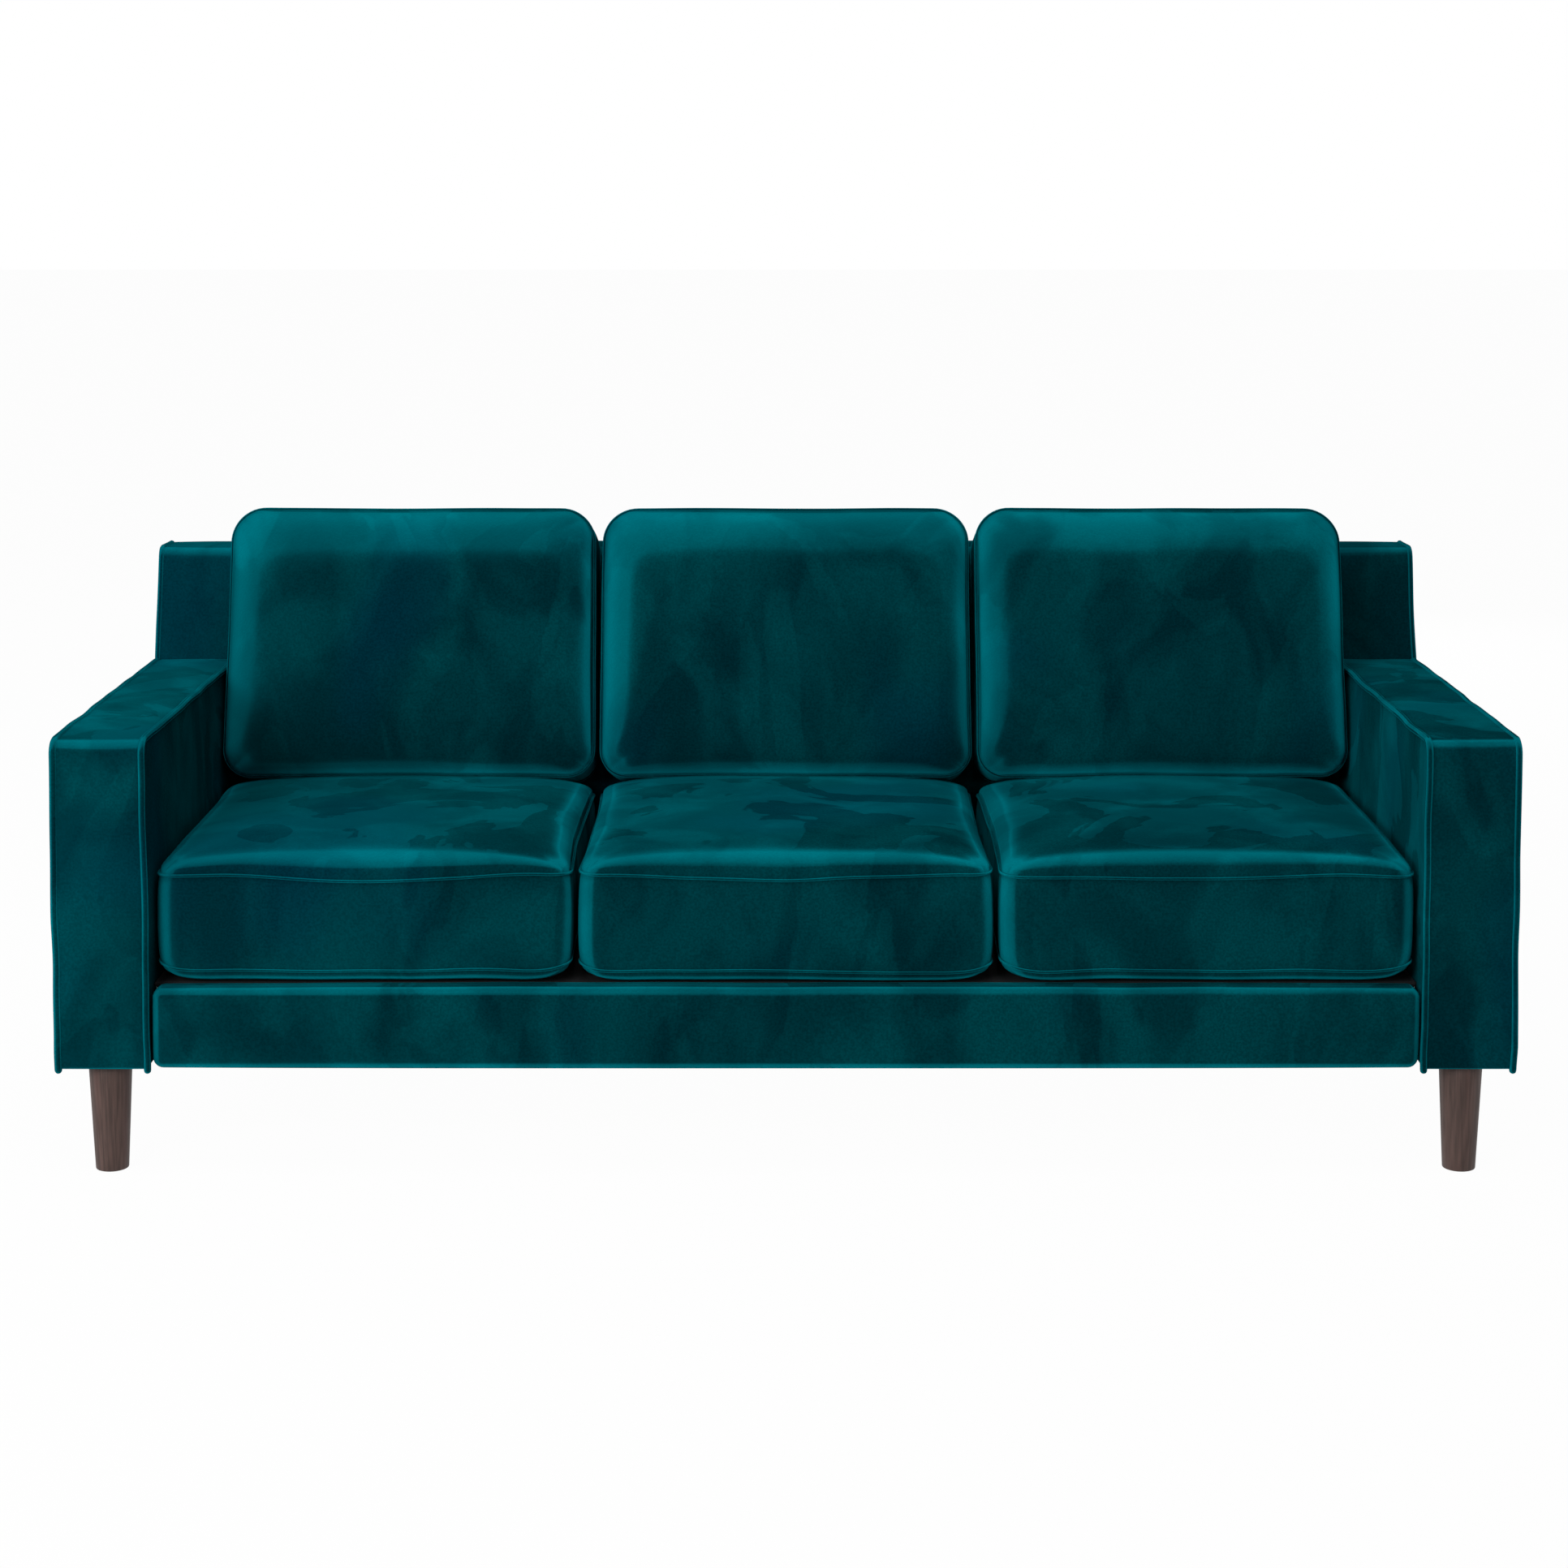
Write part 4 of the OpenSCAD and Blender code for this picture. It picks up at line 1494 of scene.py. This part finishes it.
@dataclass
class Leg:
    """A tapered round leg, turned in walnut."""

    node: str
    # The foot's diameter over the top's
    foot_share: float = 44.2 / 58.6
    edge: float = 0.0015
    step: float = 0.02
    sides: int = 96

    def build(self) -> None:
        """Spins the leg's outline round its axis."""
        low, high = box_of(self.node)
        top_r = (high.x - low.x) / 2
        profile = ((0, low.z), (top_r * self.foot_share, low.z), (top_r, high.z), (0, high.z))
        corners = [Vector((radius, 0, z)) for radius, z in profile]
        outline = rounded_line(corners, [self.edge, self.edge], self.step)
        mesh = bmesh.new()
        verts = [mesh.verts.new(point) for point in outline]
        edges = [mesh.edges.new(pair) for pair in zip(verts, verts[1:])]
        bmesh.ops.spin(mesh, geom=verts + edges, cent=(0, 0, 0), axis=(0, 0, 1), angle=FULL_TURN,
                       steps=self.sides, use_merge=True)
        bmesh.ops.remove_doubles(mesh, verts=mesh.verts, dist=MERGE_REACH)
        middle = centre_of(self.node)
        bmesh.ops.translate(mesh, verts=mesh.verts, vec=(middle.x, middle.y, 0))
        piece(f"{self.node}_turned", mesh, Slot.WALNUT, "frame", [self.node])


class CarriedNodes:
    """The CAD nodes that keep their own shape and get a finish."""

    def build(self) -> None:
        """Gives every CAD node the finish of its slot."""
        for row in frame["record"]["subparts"]:
            node = frame["nodes"][row["node"]]
            node.data.materials.clear()
            node.data.materials.append(FINISHES[Slot(row["material_slot"])].material)
        log.info("finished %d carried nodes", len(frame["nodes"]))


@dataclass
class Lamp:
    """A soft rectangular studio lamp that is turned to the sofa's middle."""

    name: str
    place: Vector
    size: Pair
    power: float
    aim: Vector = Vector((0, 0, 0.45))

    def build(self) -> None:
        """Adds the lamp."""
        data = bpy.data.lights.new(self.name, "AREA")
        data.shape = "RECTANGLE"
        data.size, data.size_y = self.size
        data.energy = self.power
        lamp = bpy.data.objects.new(self.name, data)
        lamp.location = self.place
        lamp.rotation_euler = (self.aim - self.place).to_track_quat("-Z", "Y").to_euler()
        lamp.visible_camera = False
        bpy.context.scene.collection.objects.link(lamp)


LAMPS = (
    Lamp("key", Vector((-2.7, -4.3, 2.3)), size=(2.4, 1.6), power=178),
    Lamp("fill", Vector((2.2, -4.6, 1.8)), size=(2.4, 1.6), power=25),
    Lamp("left", Vector((-4.4, -1.4, 1.9)), size=(1.6, 2.2), power=50),
    Lamp("right", Vector((4.4, -1.4, 1.9)), size=(1.6, 2.2), power=12),
    Lamp("top", Vector((0, -1.5, 4.5)), size=(3.6, 1.6), power=106),
    Lamp("rear", Vector((0.8, 4.8, 1.4)), size=(2.4, 1.6), power=100),
)


@dataclass
class Studio:
    """The pale floor, the soft light and the camera."""

    lens: float = 68.5
    eye: Vector = Vector((0.0, -4.316, 1.339))
    tilt: float = math.radians(4.98)
    shift: Vector = Vector((-0.001, -0.22))
    sky: float = 0.15
    floor_tone: Colour = (0.6, 0.6, 0.6)
    floor_glow: float = 0.975
    floor_reach: float = 40
    floor_drop: float = 0.0005

    def build(self) -> None:
        """Sets up everything round the sofa."""
        self.hang_camera()
        self.lay_floor()
        self.light_sky()
        for lamp in LAMPS:
            lamp.build()
        bpy.context.scene.view_settings.view_transform = "Standard"

    def hang_camera(self) -> None:
        """Hangs the camera at the photograph's viewing angle, part tilted and part shifted."""
        data = bpy.data.cameras.new("camera")
        data.lens = self.lens
        data.shift_x, data.shift_y = self.shift
        camera = bpy.data.objects.new("camera", data)
        camera.location = self.eye
        camera.rotation_euler = (math.pi / 2 - self.tilt, 0, 0)
        bpy.context.scene.collection.objects.link(camera)
        bpy.context.scene.camera = camera

    def seen_white(self, tree: NodeTree) -> NodeSocket:
        """Adds the nodes that say whether a camera, glossy or transmission ray is under way.

        Args:
            tree: The node tree that they are added to.

        Returns:
            1 for such a ray and 0 for any other.
        """
        path = tree.nodes.new("ShaderNodeLightPath")
        total = path.outputs["Is Camera Ray"]
        for name in ("Is Glossy Ray", "Is Transmission Ray"):
            both = tree.nodes.new("ShaderNodeMath")
            both.operation, both.use_clamp = "ADD", True
            tree.links.new(total, both.inputs[0])
            tree.links.new(path.outputs[name], both.inputs[1])
            total = both.outputs["Value"]
        return total

    def light_sky(self) -> None:
        """Makes the world white where it is seen and softer where it lights."""
        world = bpy.data.worlds.new("studio")
        world.use_nodes = True
        bpy.context.scene.world = world
        tree = world.node_tree
        strength = tree.nodes.new("ShaderNodeMapRange")
        tree.links.new(self.seen_white(tree), strength.inputs["Value"])
        strength.inputs["To Min"].default_value = self.sky
        strength.inputs["To Max"].default_value = 1.0
        background = tree.nodes["Background"]
        background.inputs["Color"].default_value = (1, 1, 1, 1)
        tree.links.new(strength.outputs["Result"], background.inputs["Strength"])

    def lay_floor(self) -> None:
        """Lays a white floor that keeps the sofa's soft shadow."""
        mesh = bmesh.new()
        bmesh.ops.create_grid(mesh, x_segments=1, y_segments=1, size=self.floor_reach)
        bmesh.ops.translate(mesh, verts=mesh.verts, vec=(0, 0, -self.floor_drop))
        data = bpy.data.meshes.new("floor")
        mesh.to_mesh(data)
        mesh.free()
        floor = bpy.data.objects.new("floor", data)
        bpy.context.scene.collection.objects.link(floor)
        material = bpy.data.materials.new("floor")
        material.use_nodes = True
        tree = material.node_tree
        tree.nodes.remove(tree.nodes["Principled BSDF"])
        card, glow, mix, share = (tree.nodes.new(kind) for kind in (
            "ShaderNodeBsdfDiffuse", "ShaderNodeEmission", "ShaderNodeMixShader", "ShaderNodeMath"))
        card.inputs["Color"].default_value = (*self.floor_tone, 1)
        share.operation = "MULTIPLY"
        share.inputs[1].default_value = self.floor_glow
        tree.links.new(self.seen_white(tree), share.inputs[0])
        tree.links.new(share.outputs["Value"], mix.inputs["Fac"])
        tree.links.new(card.outputs["BSDF"], mix.inputs[1])
        tree.links.new(glow.outputs["Emission"], mix.inputs[2])
        tree.links.new(mix.outputs["Shader"], tree.nodes["Material Output"].inputs["Surface"])
        data.materials.append(material)


def main() -> None:
    """Builds the sofa's looks in order, then the studio."""
    logging.basicConfig(level=logging.INFO, format="%(message)s")
    noise.seed_set(CLOTH_SEED)
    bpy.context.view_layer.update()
    CarriedNodes().build()
    slope = BackSlope()
    Back.of(slope).build()
    for side in Side:
        Arm.on(side, slope).build()
    Apron.measured().build()
    DeckRoll().build()
    DustCoverStaples().build()
    for seat in Seat:
        SeatCushion.at(seat).build()
        BackCushion.at(seat, slope).build()
    for place in ("front_left", "front_right", "rear_left", "rear_right"):
        Leg(f"leg_{place}").build()
    Studio().build()


if __name__ == "__main__":
    main()
